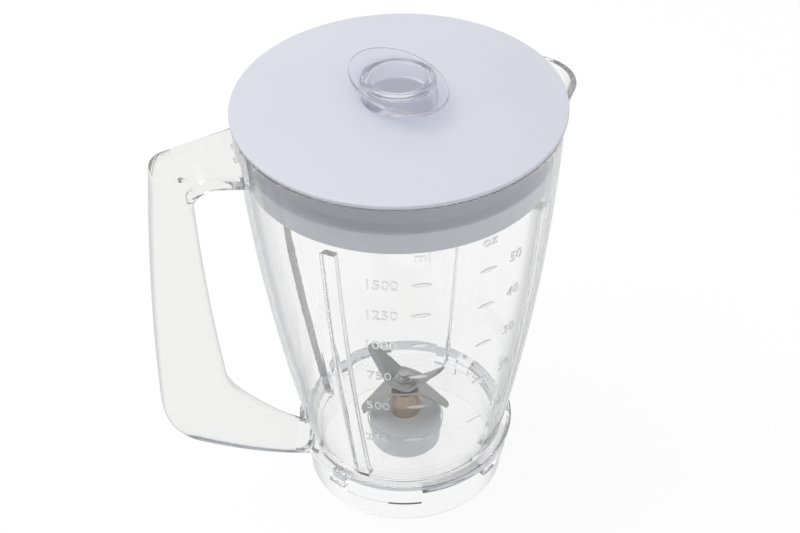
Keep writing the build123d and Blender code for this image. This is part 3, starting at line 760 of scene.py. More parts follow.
    def zone(self, point, handle, scale):
        """Finish of the moulding at a point"""
        jar = self.jar
        reach = sqrt(point.x ** 2 + point.y ** 2)
        at_handle = point.x < 0 and abs(point.y) < handle.width
        if reach < jar.tower_inner + jar.tower_wall + jar.tower_foot_round:
            return TOWER
        if point.z < self.wall.foot:
            if at_handle:
                return HANDLE if reach > jar.flange_radius + jar.wall else BODY
            # Faces of the thick flange, which take the painted shade
            thick = point.z > jar.floor_top - jar.floor_thickness and reach > jar.foot_radius - jar.wall
            return FLANGE if thick else BODY
        proud = reach - self.wall.radius(point.z)
        if at_handle and proud > handle.wall / 4:
            return HANDLE
        beside = atan2(point.y, point.x) - scale.azimuth
        return MARKS if abs(beside) < SCALE_SPAN and proud > scale.relief / 4 else BODY

    def place(self, row, column):
        """Point of the jar's surface on a row of its profile and a column round it"""
        radius, height, tag = row
        azimuth, offset, share = column
        azimuth += asin(offset / max(radius, self.jar.floor_ring))
        blend = self.jar.spout_blend
        if tag == "skirt":
            radius = self.lug(azimuth, height, radius)
        elif tag == "outside":
            radius = smooth_max(radius, self.spout(azimuth, height, 0.0), blend)
        elif tag == "inside":
            radius = smooth_max(radius, self.spout(azimuth, height, self.jar.wall), blend)
            radius -= self.rib(height, share)
        return spun(radius, azimuth, height)


def bowed_outline(corners, steps=10):
    """Closed outline through corners (reach, height, round, bow), the bow of the side after each"""
    points = [Vector(corner[:2]) for corner in corners]
    count = len(points)
    runs = []
    for index, here in enumerate(points):
        before, after = points[index - 1], points[(index + 1) % count]
        half = (before - here).angle(after - here) / 2
        runs.append(corners[index][2] / tan(half))

    def bowed(side, distance):
        share = distance / (points[(side + 1) % count] - points[side]).length
        return Vector(corners[side][3]) * 4 * share * (1 - share)

    outline = []
    for index, here in enumerate(points):
        before, after = points[index - 1], points[(index + 1) % count]
        last, span = (here - before).length, (after - here).length
        radius, run = corners[index][2], runs[index]
        if radius:
            arc = corner_arc(before, here, after, radius, steps)
            shifts = bowed(index - 1, last - run), bowed(index, run)
            for step, point in enumerate(arc):
                outline.append(point + shifts[0].lerp(shifts[1], step / steps))
        else:
            outline.append(here.copy())
        end = span - runs[(index + 1) % count]
        if Vector(corners[index][3]).length:
            for step in range(1, steps):
                distance = run + (end - run) * step / steps
                outline.append(here.lerp(after, distance / span) + bowed(index, distance))
    return outline


def drafted_slab(name, outline, handle, inset, steps=10):
    """Mesh of a side outline given the handle's tapering width, with its long edges rounded to an oval"""
    count = len(outline)
    area = sum(outline[i - 1].cross(outline[i]) for i in range(count))
    inward = []
    for index in range(count):
        along = outline[(index + 1) % count] - outline[index - 1]
        normal = Vector((-along.y, along.x)).normalized()
        inward.append(normal if area > 0 else -normal)
    taper = (handle.width - handle.foot_width) / 2 / jar_height
    radius = handle.edge_round - inset
    loops = []
    for side in (1, -1):
        turns = [radians(90) * step / steps for step in range(steps + 1)]
        for angle in reversed(turns) if side > 0 else turns:
            loop = []
            for point, normal in zip(outline, inward):
                reach, height = point + normal * radius * (1 - cos(angle))
                half = handle.foot_width / 2 + taper * height
                across = half * handle.edge_share - inset
                loop.append((-reach, side * (half - inset - across * (1 - sin(angle))), height))
            loops.append(loop)
    vertices = [point for loop in loops for point in loop]
    faces = [tuple(range(count)), tuple(range(len(vertices) - count, len(vertices)))]
    for low in range(len(loops) - 1):
        for left in range(count):
            right = (left + 1) % count
            faces.append((
                low * count + left, low * count + right, (low + 1) * count + right, (low + 1) * count + left
            ))
    return mesh_piece(name, vertices, faces)


class HandleForm:
    """Side outlines of the handle and its two hollows"""

    def __init__(self, handle, jar):
        self.handle = handle
        self.root = jar.foot_radius - 2 * handle.edge_round
        self.foot_root = jar.foot_radius - jar.skirt_wall
        self.over = jar_height + handle.arm_depth
        self.head = Vector((handle.reach - handle.grip_lean, jar_height))
        self.elbow = Vector((handle.reach, handle.elbow_height))
        self.arm_under = jar_height - handle.arm_depth
        self.gap_head = Vector((self.head.x - handle.grip_top, self.arm_under + handle.arm_rise))
        self.gap_foot = Vector((handle.reach - handle.grip_foot, handle.gap_foot_height))
        self.trough_floor = self.gap_head.y + handle.arm_floor
        self.rim_radius = jar.rim_radius

    def back_reach(self, height, depth):
        """Reach of the surface that lies this deep inside the grip's back, at a height"""
        share = (height - self.head.y) / (self.elbow.y - self.head.y)
        chord = self.head.x + share * (self.elbow.x - self.head.x)
        return chord + self.handle.grip_bulge * 4 * share * (1 - share) - depth

    def gap_reach(self, height, depth):
        """Reach of the surface that lies this deep inside the grip's inner side, at a height"""
        share = (height - self.gap_foot.y) / (self.gap_head.y - self.gap_foot.y)
        return self.gap_foot.x + share * (self.gap_head.x - self.gap_foot.x) + depth

    def outside(self):
        """Outline of the whole handle, carried over its rim and into the jar"""
        handle = self.handle
        level = (0.0, 0.0)
        sag = (0.0, -handle.foot_sag)
        return bowed_outline([
            (self.root, self.over, 0, level),
            (self.back_reach(self.over, 0), self.over, 0, level),
            (*self.head, 0, (handle.grip_bulge, 0.0)),
            (*self.elbow, handle.elbow_round, sag),
            (self.foot_root, handle.foot_low, 0, level),
            (self.root, handle.foot_low, 0, level),
            (self.root, handle.foot_high, 0, level),
            (self.foot_root, handle.foot_high, 0, sag),
            (*self.gap_foot, handle.gap_foot_round, (handle.gap_bulge, 0.0)),
            (*self.gap_head, handle.gap_corner_round, level),
            (self.rim_radius, self.arm_under, 0, level),
            (self.root, self.arm_under, 0, level),
        ])

    def trough(self):
        """Outline of the arm's open hollow"""
        level = (0.0, 0.0)
        wall = self.handle.wall
        within = self.root - 2 * wall
        return bowed_outline([
            (within, self.over, 0, level),
            (self.back_reach(self.over, wall), self.over, 0, level),
            (self.back_reach(self.trough_floor, wall), self.trough_floor, self.handle.trough_round, level),
            (self.gap_head.x, self.trough_floor, 0, level),
            (self.rim_radius, self.arm_under + self.handle.arm_floor, 0, level),
            (within, self.arm_under + self.handle.arm_floor, 0, level),
        ])

    def pocket(self):
        """Outline of the grip's hollow, which opens from the trough"""
        handle = self.handle
        level = (0.0, 0.0)
        wall = handle.wall + handle.pocket_step
        low = handle.gap_foot_height - handle.pocket_drop
        top = self.trough_floor + handle.arm_floor
        ends = self.back_reach(top, wall), self.back_reach(low, wall)
        back_bow = self.back_reach((top + low) / 2, wall) - (ends[0] + ends[1]) / 2
        mouth = self.gap_reach(self.trough_floor, wall)
        ledge = mouth - 2 * handle.mouth_round
        return bowed_outline([
            (ledge, top, 0, level),
            (ends[0], top, 0, (back_bow, 0.0)),
            (ends[1], low, handle.pocket_round, level),
            (self.gap_reach(low, wall), low, handle.pocket_round, (handle.gap_bulge, 0.0)),
            (mouth, self.trough_floor, handle.mouth_round, level),
            (ledge, self.trough_floor + 0.05 * MM, 0, level),
        ])

    def rim_height(self, reach):
        """Height of the sloping rim at a reach"""
        slope = self.handle.arm_fall / (self.head.x - self.rim_radius)
        return jar_height - self.handle.arm_drop - slope * (reach - self.rim_radius)

    def round_rim(self, piece):
        """Rounds the edges of the trough's rim"""
        near = 0.02 * MM
        work = bmesh.new()
        work.from_mesh(piece.data)
        level = {vert for vert in work.verts if abs(vert.co.z - self.rim_height(-vert.co.x)) < near}
        edges = [edge for edge in work.edges if set(edge.verts) <= level and edge.is_manifold]
        edges = [edge for edge in edges if edge.calc_face_angle() > radians(40)]
        bmesh.ops.bevel(
            work, geom=edges, offset=self.handle.rim_round, segments=3, profile=0.5, affect="EDGES"
        )
        work.to_mesh(piece.data)
        work.free()

    def cut_at_rim(self, piece):
        """Cuts the handle off along its sloping rim"""
        slope = self.handle.arm_fall / (self.head.x - self.rim_radius)
        rim = Vector((-self.rim_radius, 0, jar_height - self.handle.arm_drop))
        work = bmesh.new()
        work.from_mesh(piece.data)
        cut = bmesh.ops.bisect_plane(
            work,
            geom=work.verts[:] + work.edges[:] + work.faces[:],
            plane_co=rim,
            plane_no=Vector((-slope, 0, 1)),
            clear_outer=True,
        )
        edges = [item for item in cut["geom_cut"] if isinstance(item, bmesh.types.BMEdge)]
        bmesh.ops.contextual_create(work, geom=edges)
        bmesh.ops.recalc_face_normals(work, faces=work.faces)
        work.to_mesh(piece.data)
        work.free()


def wall_filler(name, wall, depth, bottom, top):
    """Mesh that fills the jar to a depth inside its outer wall"""
    core = 1.0 * MM
    foot = wall.radius(wall.foot, depth)
    head = wall.radius(jar_height, depth)
    steps = 24
    heights = [wall.foot + (jar_height - wall.foot) * index / steps for index in range(steps + 1)]
    outline = [(core, bottom), (foot, bottom)]
    outline += [(wall.radius(height, depth), height) for height in heights]
    outline += [(head, top), (core, top)]
    return turned(name, outline, count=180)


# Heights of the scale's marks in millimetres, by the volume that they stand for
MILLILITRE_MARKS = {"1500": 171.1, "1250": 152.7, "1000": 133.5, "750": 112.4, "500": 90.4, "250": 64.5}
OUNCE_MARKS = {"50": 170.4, "40": 148.8, "30": 123.9, "20": 98.3, "10": 68.2}


def text_shape(text, scale):
    """Vertices and faces of a raised word, flat and centred"""
    curve = bpy.data.curves.new("word", "FONT")
    curve.body = text
    curve.size = scale.text_size
    curve.align_x = "CENTER"
    curve.align_y = "CENTER"
    curve.resolution_u = 3
    curve.extrude = (scale.relief + scale.sink) / 2
    holder = bpy.data.objects.new("word", curve)
    bpy.context.scene.collection.objects.link(holder)
    mesh = bpy.data.meshes.new_from_object(holder.evaluated_get(bpy.context.evaluated_depsgraph_get()))
    bpy.data.objects.remove(holder)
    bpy.data.curves.remove(curve)
    work = bmesh.new()
    work.from_mesh(mesh)
    bpy.data.meshes.remove(mesh)
    bmesh.ops.remove_doubles(work, verts=work.verts, dist=0.001 * MM)
    vertices = [vert.co.copy() for vert in work.verts]
    faces = [[vert.index for vert in face.verts] for face in work.faces]
    work.free()
    return vertices, faces


def tick_shape(scale, steps=8):
    """Vertices and faces of a raised tick, thick in its middle and pointed at its ends"""
    half = scale.tick_length / 2
    shares = [2 * index / steps - 1 for index in range(steps + 1)]
    upper = [(half * share, scale.tick_height / 2 * (1 - share * share)) for share in shares]
    outline = upper + [(across, -up) for across, up in reversed(upper[1:-1])]
    deep = (scale.relief + scale.sink) / 2
    count = len(outline)
    vertices = [Vector((across, up, side * deep)) for side in (-1, 1) for across, up in outline]
    faces = [list(range(count)), list(range(count, 2 * count))]
    for left in range(count):
        right = (left + 1) % count
        faces.append([left, right, count + right, count + left])
    return vertices, faces


def scale_relief(scale, wall):
    """Mesh of the whole scale: ticks, numbers and headings laid round the wall"""
    marks = []
    rows = (
        (MILLILITRE_MARKS, -1, scale.millilitre_offset, "ml"),
        (OUNCE_MARKS, 1, scale.ounce_offset, "oz"),
    )
    for heights, side, offset, heading in rows:
        for number, height in heights.items():
            marks.append((tick_shape(scale), side * scale.tick_offset, height * MM))
            marks.append((text_shape(number, scale), side * offset, height * MM))
        marks.append((text_shape(heading, scale), side * scale.tick_offset, scale.heading_height))
    vertices = []
    faces = []
    middle = (scale.relief - scale.sink) / 2
    for (points, sides), offset, height in marks:
        first = len(vertices)
        for point in points:
            level = height + point.y
            azimuth = scale.azimuth + (offset + point.x) / wall.radius(height)
            vertices.append(spun(wall.radius(level) + middle + point.z, azimuth, level))
        faces += [[first + index for index in side] for side in sides]
    return mesh_piece("scale", vertices, faces)


class JAR_OT_moulding(bpy.types.Operator):
    """Builds the clear jar with its spout, ribs, lugs and hollow handle"""

    bl_idname = "jar.moulding"
    bl_label = "Jar moulding"

    def execute(self, context):
        sizes = context.scene.jar_sizes
        handle_sizes = context.scene.handle_sizes
        form = JarForm(sizes)
        jar = grid_piece("clear_jar", form.rows(), form.columns(), form.place)
        handle_form = HandleForm(handle_sizes, sizes)
        handle = drafted_slab("handle", handle_form.outside(), handle_sizes, 0.0)
        handle_form.cut_at_rim(handle)
        wall = handle_sizes.wall
        combine(handle, drafted_slab("trough", handle_form.trough(), handle_sizes, wall), "DIFFERENCE")
        wall += handle_sizes.pocket_step
        combine(handle, drafted_slab("pocket", handle_form.pocket(), handle_sizes, wall), "DIFFERENCE")
        handle_form.round_rim(handle)
        over = handle_form.over + handle_sizes.arm_depth
        combine(handle, wall_filler("within", form.wall, sizes.wall / 2, -sizes.wall, over), "DIFFERENCE")
        combine(jar, handle, "UNION")
        combine(jar, scale_relief(context.scene.scale_sizes, form.wall), "UNION")
        shade(jar)
        look = context.scene.finishes
        plastics = (
            ("clear_styrene_polished_mould", look.clear, BODY_IOR, 0.0),
            # The handle's copy of the clear plastic carries painted shade in its greyer tint
            ("clear_styrene_handle_painted_shade", look.handle, THIN_WALL_IOR, 0.0),
            ("clear_styrene_etched_marks", look.clear, MARKS_IOR, MARKS_FROST),
            # The foot's copy of the clear plastic carries painted shade in its grey tint
            ("clear_styrene_foot_painted_shade", look.thick, FLANGE_IOR, 0.0),
            ("clear_styrene_drive_tower", look.clear, THIN_WALL_IOR, 0.0),
        )
        # Each clear plastic takes look.edge, the painted edge shade
        plastics = [clear_moulded_plastic(name, tint, look.edge, *rest) for name, tint, *rest in plastics]
        dress(jar, plastics[BODY], node="jar")
        for plastic in plastics[HANDLE:]:
            jar.data.materials.append(plastic)
        for face in jar.data.polygons:
            face.material_index = form.zone(face.center, handle_sizes, context.scene.scale_sizes)
        return {"FINISHED"}


class JAR_OT_lid(bpy.types.Operator):
    """Builds the lid with its plug and the sealing ring in the plug's groove"""

    bl_idname = "jar.lid"
    bl_label = "Lid and seal"

    def execute(self, context):
        lid = context.scene.lid_sizes
        jar = context.scene.jar_sizes
        wall = WallArc(jar)
        plug = wall.radius(plug_bottom, jar.wall) - lid.plug_clearance
        groove = plug - lid.seal_seat
        neck = groove + lid.seal_neck
        plug_inner = groove - lid.wall
        edge_top = jar_height + lid.edge
        seat = lid.hole_radius + lid.seat_width
        collar = lid.hole_radius + lid.collar_wall
        crown = lid_top - edge_top
        hole_edge = 0.4 * MM
        steps = 24
        dome = []
        for index in range(1, steps):
            share = index / steps
            dome.append((seat + (lid_radius - seat) * share, lid_top - crown * share * share, 0, ""))
        corners = [
            (lid.hole_radius, lid_top, hole_edge, ""),
            (seat, lid_top, 0, ""),
            *dome,
            (lid_radius, edge_top, lid.edge_round, ""),
            (lid_radius, edge_top - lid.lip, lid.edge_round, ""),
            (lid_radius - lid.bevel_width, jar_height, 0, ""),
            (plug, jar_height, 0, ""),
            (plug, seal_top, 0, ""),
            (groove, seal_top, 0, ""),
            (groove, seal_bottom, 0, ""),
            (plug, seal_bottom, 0, ""),
            (plug, plug_bottom, lid.plug_round, ""),
            (plug_inner, plug_bottom, lid.plug_round, ""),
            (plug_inner, edge_top - lid.wall, lid.plug_round, ""),
            (collar, lid_top - lid.wall, lid.plug_round, ""),
            (collar, lid_top - lid.collar_depth, hole_edge, ""),
            (lid.hole_radius, lid_top - lid.collar_depth, hole_edge, ""),
        ]
        piece = turned("lid_moulding", rounded(corners))
        shade(piece)
        finishes = context.scene.finishes
        material = textured_plastic(
            "polypropylene_etched_mould", finishes.lid, grain_mm=0.9, roughness=0.42, depth_mm=0.02
        )
        dress(piece, material, node="lid")
        ring = turned("lid_sealing_ring", rounded([
            (groove, seal_bottom, 0, ""),
            (seal_lip_radius, seal_bottom, lid.seal_round, ""),
            (seal_lip_radius, seal_bottom + lid.seal_lip, lid.seal_round, ""),
            (neck, seal_bottom + lid.seal_flare, lid.seal_flare / 2, ""),
            (neck, seal_top, 0, ""),
            (groove, seal_top, 0, ""),
        ]))
        shade(ring)
        # The ring's grey carries painted shade from the lid's overhang
        rubber = textured_plastic(
            "silicone_moulded_painted_shade", finishes.seal, grain_mm=1.2, roughness=0.5, depth_mm=0.02
        )
        dress(ring, rubber, node="lid_seal")
        return {"FINISHED"}


class JAR_OT_filler_cap(bpy.types.Operator):
    """Builds the clear filler cap with its oval brim"""

    bl_idname = "jar.filler_cap"
    bl_label = "Filler cap"

    def execute(self, context):
        cap = context.scene.cap_sizes
        inner = cap.plug_radius - cap.wall
        brim_top = cap_top - cap.brim_drop
        brim_bottom = brim_top - cap.brim_thickness
        edge = 0.5 * MM
        centre = 0.05 * MM
        reach = cap.brim_length / 2
        rows = rounded([
            (centre, cap_top, 0, ""),
            (cap.radius, cap_top, cap.edge_round, ""),
            (cap.radius, brim_top, edge, ""),
            (reach, brim_top, edge, "brim"),
            (reach, brim_bottom, edge, "brim"),
            (cap.radius, brim_bottom, edge, ""),
            (cap.radius, lid_top, edge, ""),
            (cap.plug_radius, lid_top, 0, ""),
            (cap.plug_radius, cap_plug_end, edge, ""),
            (inner, cap_plug_end, edge, ""),
            (inner, cap_top - cap.wall, edge, ""),
            (centre, cap_top - cap.wall, 0, ""),
        ])

        def place(row, azimuth):
            radius, height, tag = row
            if tag == "brim":
                along = cos(azimuth - cap.brim_azimuth) * cap.brim_breadth
                beside = sin(azimuth - cap.brim_azimuth) * cap.brim_length
                oval = cap.brim_length * cap.brim_breadth / 2 / sqrt(along * along + beside * beside)
                radius = max(oval - (reach - radius), cap.radius + edge)
            return spun(radius, azimuth, height)

        count = 192
        azimuths = [2 * pi * index / count for index in range(count)]
        piece = grid_piece("filler_cap_moulding", rows, azimuths, place)
        shade(piece)
        look = context.scene.finishes
        # The cap's clear plastic also takes the painted edge shade from look.edge
        material = clear_moulded_plastic("clear_styrene_cap_mould", look.cap, look.edge, CAP_IOR, CAP_FROST)
        dress(piece, material, node="filler_cap")
        return {"FINISHED"}


def bent_point(reach, lift, flat, bend, round_length):
    """Point over a strip that is flat at first and then bends by an angle"""
    steps = 24
    here = Vector((0.0, 0.0))
    angle = 0.0
    for index in range(steps):
        middle = reach * (index + 0.5) / steps
        angle = bend * min(max((middle - flat) / round_length + 0.5, 0.0), 1.0)
        here += Vector((cos(angle), sin(angle))) * (reach / steps)
    up = Vector((-sin(angle), cos(angle)))
    return here + up * lift


# Width that is left at the very end of a blade, as a share
TIP_SHARE = 0.35


def blade_mesh(name, bottom, blade, azimuth, flat, bends, wing, widths, tip_round):
    """Stamped blade with two bent wings, each ground thin along its leading side"""
    root, tip = widths
    whole = flat + wing
    steps = 22
    tip_steps = 6
    plain = [whole * index / steps for index in range(steps + 1)]
    turns = [pi / 2 * index / tip_steps for index in range(1, tip_steps + 1)]
    ends = [whole - tip_round * (1 - sin(angle)) for angle in turns]
    stations = sorted({round(reach, 7) for reach in plain if reach < whole - tip_round} | set(ends))
    stations = [(1, reach) for reach in reversed(stations)] + [(0, reach) for reach in stations[1:]]
    vertices = []
    for side, reach in stations:
        taper = min(max((reach - flat / 2) / (whole - flat / 2), 0.0), 1.0)
        half = (root + (tip - root) * taper) / 2
        past = max(reach - (whole - tip_round), 0.0) / tip_round
        half *= TIP_SHARE + (1 - TIP_SHARE) * sqrt(max(1 - past * past, 0.0))
        middle = blade.sweep * taper
        ground = min(max((reach - flat) / blade.ground_width, 0.0), 1.0)
        edge = blade.thickness + (blade.ground_edge - blade.thickness) * ground
        inner = half - min(blade.ground_width, half)
        section = [(-half, 0.0), (inner, 0.0), (half, 0.0), (half, edge), (inner, blade.thickness)]
        section.append((-half, blade.thickness))
        for across, lift in section:
            place = bent_point(reach, lift, flat, bends[side], blade.bend_round)
            mirror = -1 if side else 1
            flat_place = Vector((place.x, middle + across)) * mirror
            spun_place = Matrix.Rotation(azimuth, 2) @ flat_place
            vertices.append((*spun_place, bottom + place.y))
    # The second wing is the first one turned half round, so at the middle its section runs the other way.
    corners = 6
    same = (0, 1, 2, 3, 4, 5)
    swapped = (2, 1, 0, 5, 4, 3)
    faces = [list(range(corners)), list(range(len(vertices) - corners, len(vertices)))]
    for row in range(len(stations) - 1):
        match = same if stations[row][0] == stations[row + 1][0] else swapped
        low = row * corners
        high = low + corners
        for corner in range(corners):
            following = (corner + 1) % corners
            faces.append((low + corner, low + following, high + match[following], high + match[corner]))
    return mesh_piece(name, vertices, faces)


def nut_mesh(name, blade, bottom):
    """Low hexagon nut with a domed top"""
    half = blade.nut_flats / 2
    top = bottom + blade.nut_height
    centre = 0.05 * MM
    edge = 0.4 * MM
    rows = [(centre, bottom, ""), (half, bottom, "hex"), (half, top - edge, "hex"), (half, top, "")]
    steps = 6
    for step in range(1, steps):
        climb = pi / 2 * step / steps
        rows.append((half * cos(climb), top + blade.nut_dome * sin(climb), ""))
    rows.append((centre, top + blade.nut_dome, ""))

    def place(row, azimuth):
        radius, height, tag = row
        if tag == "hex":
            radius /= cos((azimuth % (pi / 3)) - pi / 6)
        return spun(radius, azimuth, height)

    count = 96
    azimuths = [2 * pi * index / count for index in range(count)]
    return grid_piece(name, rows, azimuths, place)


class JAR_OT_blades(bpy.types.Operator):
    """Builds the two blades with their ground edges and the nut over them"""

    bl_idname = "jar.blades"
    bl_label = "Blades and nut"

    def execute(self, context):
        blade = context.scene.blade_sizes
        look = context.scene.finishes
        steel = metal(
            "stainless_steel_blasted", look.blade, grain_mm=0.5, stretch=1.0, roughness=0.45, depth_mm=0.02
        )
        upper = blade_mesh(
            "upper_blade_ground",
            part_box("upper_blade")[0].z,
            blade,
            blade.upper_azimuth,
            blade.upper_flat,
            (blade.upper_steep, blade.upper_shallow),
            blade.upper_wing,
            (blade.upper_root, blade.upper_tip),
            blade.upper_tip_round,
        )
        lower = blade_mesh(
            "lower_blade_ground",
            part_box("lower_blade")[1].z - blade.thickness,
            blade,
            blade.lower_azimuth,
            blade.lower_flat,
            (-blade.lower_bend, -blade.lower_bend),
            blade.lower_wing,
            (blade.lower_root, blade.lower_tip),
            blade.lower_tip_round,
        )
        for piece, node in ((upper, "upper_blade"), (lower, "lower_blade")):
            shade(piece, sharp=18.0)
            dress(piece, steel, ROTOR, node)
        nut = nut_mesh("blade_nut_domed", blade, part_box("blade_nut")[0].z)
        shade(nut)
        headed_steel = metal(
            "stainless_steel_cold_headed",
            look.steel,
            grain_mm=0.4,
            stretch=1.0,
            roughness=0.35,
            depth_mm=0.01,
        )
        dress(nut, headed_steel, ROTOR, "blade_nut")
        return {"FINISHED"}


# Width of the broken edges on the turned and moulded pieces, and turn from which an edge is broken
BROKEN_EDGE = 0.15 * MM
BROKEN_TURN = radians(40)


class JAR_OT_drive(bpy.types.Operator):
    """Finishes the bearing, the spindle and the drive coupling"""

    bl_idname = "jar.drive"
    bl_label = "Blade drive"

    def execute(self, context):
        look = context.scene.finishes
        turned_steel = metal(
            "stainless_steel_turned", look.steel, grain_mm=0.4, stretch=6.0, roughness=0.3, depth_mm=0.01
        )
        bronze = metal(
            "bronze_sintered", look.bronze, grain_mm=0.5, stretch=1.0, roughness=0.5, depth_mm=0.04
        )
        rubber = textured_plastic(
            "nitrile_rubber_moulded", look.rubber, grain_mm=0.8, roughness=0.6, depth_mm=0.02
        )
        acetal = textured_plastic(
            "acetal_moulded_white", look.washer, grain_mm=0.8, roughness=0.4, depth_mm=0.01
        )
        # The coupling's pale colour is painted light over its grey
        nylon = textured_plastic(
            "nylon_moulded_grey_painted_light", look.coupling, grain_mm=1.0, roughness=0.45, depth_mm=0.02
        )
        finishes = {
            "bearing_bush": bronze,
            "shaft_seal": rubber,
            "spindle": turned_steel,
            "blade_spacer": turned_steel,
            "blade_washer": turned_steel,
            "coupling_insert": turned_steel,
            "thrust_washer": acetal,
            "drive_coupling": nylon,
        }
        for name, material in finishes.items():
            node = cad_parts[name]
            node.data.materials.clear()
            node.data.materials.append(material)
            bevel = node.modifiers.new("broken_edges", "BEVEL")
            bevel.width = BROKEN_EDGE
            bevel.segments = 2
            bevel.limit_method = "ANGLE"
            bevel.angle_limit = BROKEN_TURN
            shading = node.modifiers.new("even_shading", "WEIGHTED_NORMAL")
            shading.keep_sharp = True
        return {"FINISHED"}


def area_light(name, watts, size, place, target):
    """Soft square lamp at a place, aimed at a target"""
    data = bpy.data.lights.new(name, "AREA")
    data.energy = watts
    data.size = size
    lamp = bpy.data.objects.new(name, data)
    lamp.location = place
    lamp.rotation_euler = (Vector(target) - Vector(place)).to_track_quat("-Z", "Y").to_euler()
    bpy.context.scene.collection.objects.link(lamp)


def seen_rays(tree):
    """Node that is one for rays that the eye follows: straight, mirrored or through clear plastic"""
    path = add_node(tree, "ShaderNodeLightPath").outputs
    mirrored = add_node(tree, "ShaderNodeMath", {"operation": "MAXIMUM"}, {
        0: path["Is Glossy Ray"], 1: path["Is Transmission Ray"],
    })
    seen = add_node(tree, "ShaderNodeMath", {"operation": "MAXIMUM"}, {
        0: path["Is Camera Ray"], 1: mirrored,
    })
    direct = add_node(tree, "ShaderNodeMath", {"operation": "LESS_THAN"}, {
        0: path["Diffuse Depth"], 1: 0.5,
    })
    return add_node(tree, "ShaderNodeMath", {"operation": "MULTIPLY"}, {0: seen, 1: direct})


# Strength of the floor's white, and its share beside the shadow that the floor keeps
FLOOR_GLOW = 1.02
FLOOR_GLOW_SHARE = 0.88

# Directions, from behind the camera to ahead of it, between which the tent turns from grey to white
TENT_GREY = -0.6
TENT_WHITE = 0.3


def studio_floor(finish):
    """Pale painted floor that shows white to the eye and keeps a faint shadow"""
    # Matt paint under soft light: nearly white, with only the object's shadow to be seen.
    material, tree, place = new_material("matt_paint_rolled")
    mottle = add_node(tree, "ShaderNodeTexNoise", inputs={
        "Vector": place, "Scale": per_metre(MOTTLE_MM), "Detail": 1.0,
    })
    tint = add_node(tree, "ShaderNodeMix", {"data_type": "RGBA"}, {
        "Factor": mottle, "A": opaque_colour(finish), "B": WHITE,
    })
    paint = add_node(tree, "ShaderNodeBsdfDiffuse", inputs={"Color": tint})
    glow = add_node(tree, "ShaderNodeEmission", inputs={"Color": WHITE, "Strength": FLOOR_GLOW})
    share = add_node(tree, "ShaderNodeMath", {"operation": "MULTIPLY"}, {
        0: seen_rays(tree), 1: FLOOR_GLOW_SHARE,
    })
    mixed = add_node(tree, "ShaderNodeMixShader", inputs={"Fac": share, 1: paint, 2: glow})
    add_node(tree, "ShaderNodeOutputMaterial", inputs={"Surface": mixed})
    return material


def studio_air(scene, look):
    """World light: a white tent, a little greyer on the near side so that clear edges show"""
    world = bpy.data.worlds.new("studio_air")
    scene.world = world
    world.use_nodes = True
    tree = world.node_tree
    tree.nodes.clear()
    direction = add_node(tree, "ShaderNodeTexCoord").outputs["Generated"]
    beyond = add_node(tree, "ShaderNodeSeparateXYZ", inputs={"Vector": direction}).outputs["Y"]
    far_side = add_node(tree, "ShaderNodeMapRange", inputs={
        "Value": beyond, "From Min": TENT_GREY, "From Max": TENT_WHITE,
    })
    shown = add_node(tree, "ShaderNodeMix", {"data_type": "RGBA"}, {
        "Factor": far_side, "A": opaque_colour(look.near_air), "B": WHITE,
    })
    light = add_node(tree, "ShaderNodeMix", {"data_type": "RGBA"}, {
        "Factor": seen_rays(tree), "A": opaque_colour(look.room_light), "B": shown,
    })
    sky = add_node(tree, "ShaderNodeBackground", inputs={"Color": light, "Strength": 1.0})
    add_node(tree, "ShaderNodeOutputWorld", inputs={"Surface": sky})


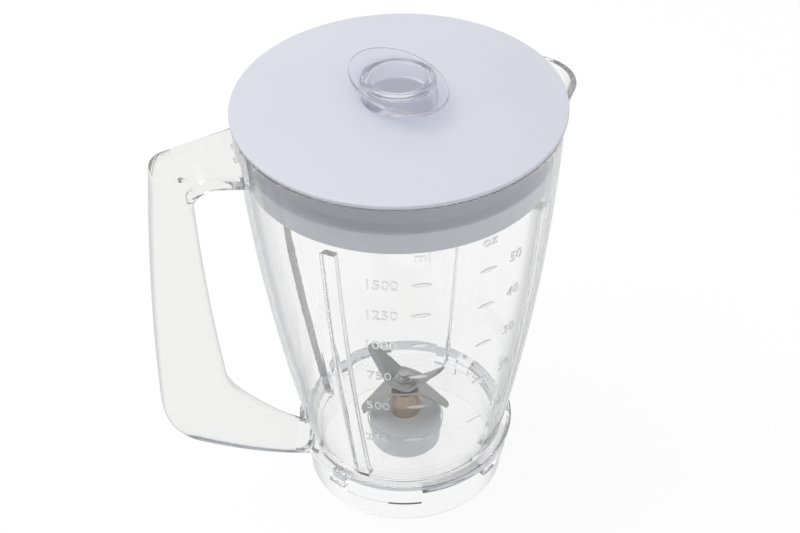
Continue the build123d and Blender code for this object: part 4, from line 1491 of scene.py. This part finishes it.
class JAR_OT_stage(bpy.types.Operator):
    """Sets the floor, the soft lights and the camera of the photograph"""

    bl_idname = "jar.stage"
    bl_label = "Stage"

    def execute(self, context):
        scene = context.scene
        studio = scene.studio
        half = studio.floor_size / 2
        floor = mesh_piece(
            "studio_floor",
            [(-half, -half, 0), (half, -half, 0), (half, half, 0), (-half, half, 0)],
            [(0, 1, 2, 3)],
        )
        floor.data.materials.append(studio_floor(scene.finishes.floor))
        studio_air(scene, scene.finishes)
        target = (0.0, 0.0, jar_height / 2)
        area_light("overhead_softbox", studio.key_watts, studio.key_size, studio.key_place, target)
        area_light("front_softbox", studio.fill_watts, studio.fill_size, studio.fill_place, target)
        data = bpy.data.cameras.new("photo_camera")
        data.lens = studio.lens
        data.sensor_width = studio.sensor
        camera = bpy.data.objects.new("photo_camera", data)
        camera.location = studio.camera_place
        level = cos(studio.camera_pitch)
        ahead = Vector((
            level * cos(studio.camera_heading), level * sin(studio.camera_heading), -sin(studio.camera_pitch)
        ))
        camera.rotation_mode = "QUATERNION"
        roll = Quaternion((0, 0, 1), -studio.camera_roll)
        camera.rotation_quaternion = ahead.to_track_quat("-Z", "Y") @ roll
        scene.collection.objects.link(camera)
        scene.camera = camera
        scene.view_settings.view_transform = "Standard"
        return {"FINISHED"}


class JAR_PT_sidebar(bpy.types.Panel):
    """Lists the sizes, the finishes and the steps that build the jar"""

    bl_label = "Clear blender jar"
    bl_idname = "JAR_PT_sidebar"
    bl_space_type = "VIEW_3D"
    bl_region_type = "UI"
    bl_category = "Jar"

    def draw(self, context):
        for operator in OPERATORS:
            self.layout.operator(operator.bl_idname)
        for name, group in GROUPS.items():
            box = self.layout.box()
            box.label(text=group.__doc__)
            for size in group.__annotations__:
                box.prop(getattr(context.scene, name), size)


GROUPS = {
    "jar_sizes": JarSizes,
    "handle_sizes": HandleSizes,
    "scale_sizes": ScaleSizes,
    "lid_sizes": LidSizes,
    "cap_sizes": CapSizes,
    "blade_sizes": BladeSizes,
    "finishes": Finishes,
    "studio": Studio,
}
OPERATORS = (JAR_OT_moulding, JAR_OT_lid, JAR_OT_filler_cap, JAR_OT_blades, JAR_OT_drive, JAR_OT_stage)


def register():
    """Registers the sizes, the steps and the panel"""
    for name, group in GROUPS.items():
        bpy.utils.register_class(group)
        setattr(bpy.types.Scene, name, PointerProperty(type=group))
    for operator in OPERATORS:
        bpy.utils.register_class(operator)
    bpy.utils.register_class(JAR_PT_sidebar)


def unregister():
    """Takes the panel, the steps and the sizes out again"""
    bpy.utils.unregister_class(JAR_PT_sidebar)
    for operator in reversed(OPERATORS):
        bpy.utils.unregister_class(operator)
    for name, group in reversed(GROUPS.items()):
        delattr(bpy.types.Scene, name)
        bpy.utils.unregister_class(group)


def main():
    """Builds every piece in order"""
    register()
    bpy.ops.jar.moulding()
    bpy.ops.jar.lid()
    bpy.ops.jar.filler_cap()
    bpy.ops.jar.blades()
    bpy.ops.jar.drive()
    bpy.ops.jar.stage()


if __name__ == "__main__":
    main()
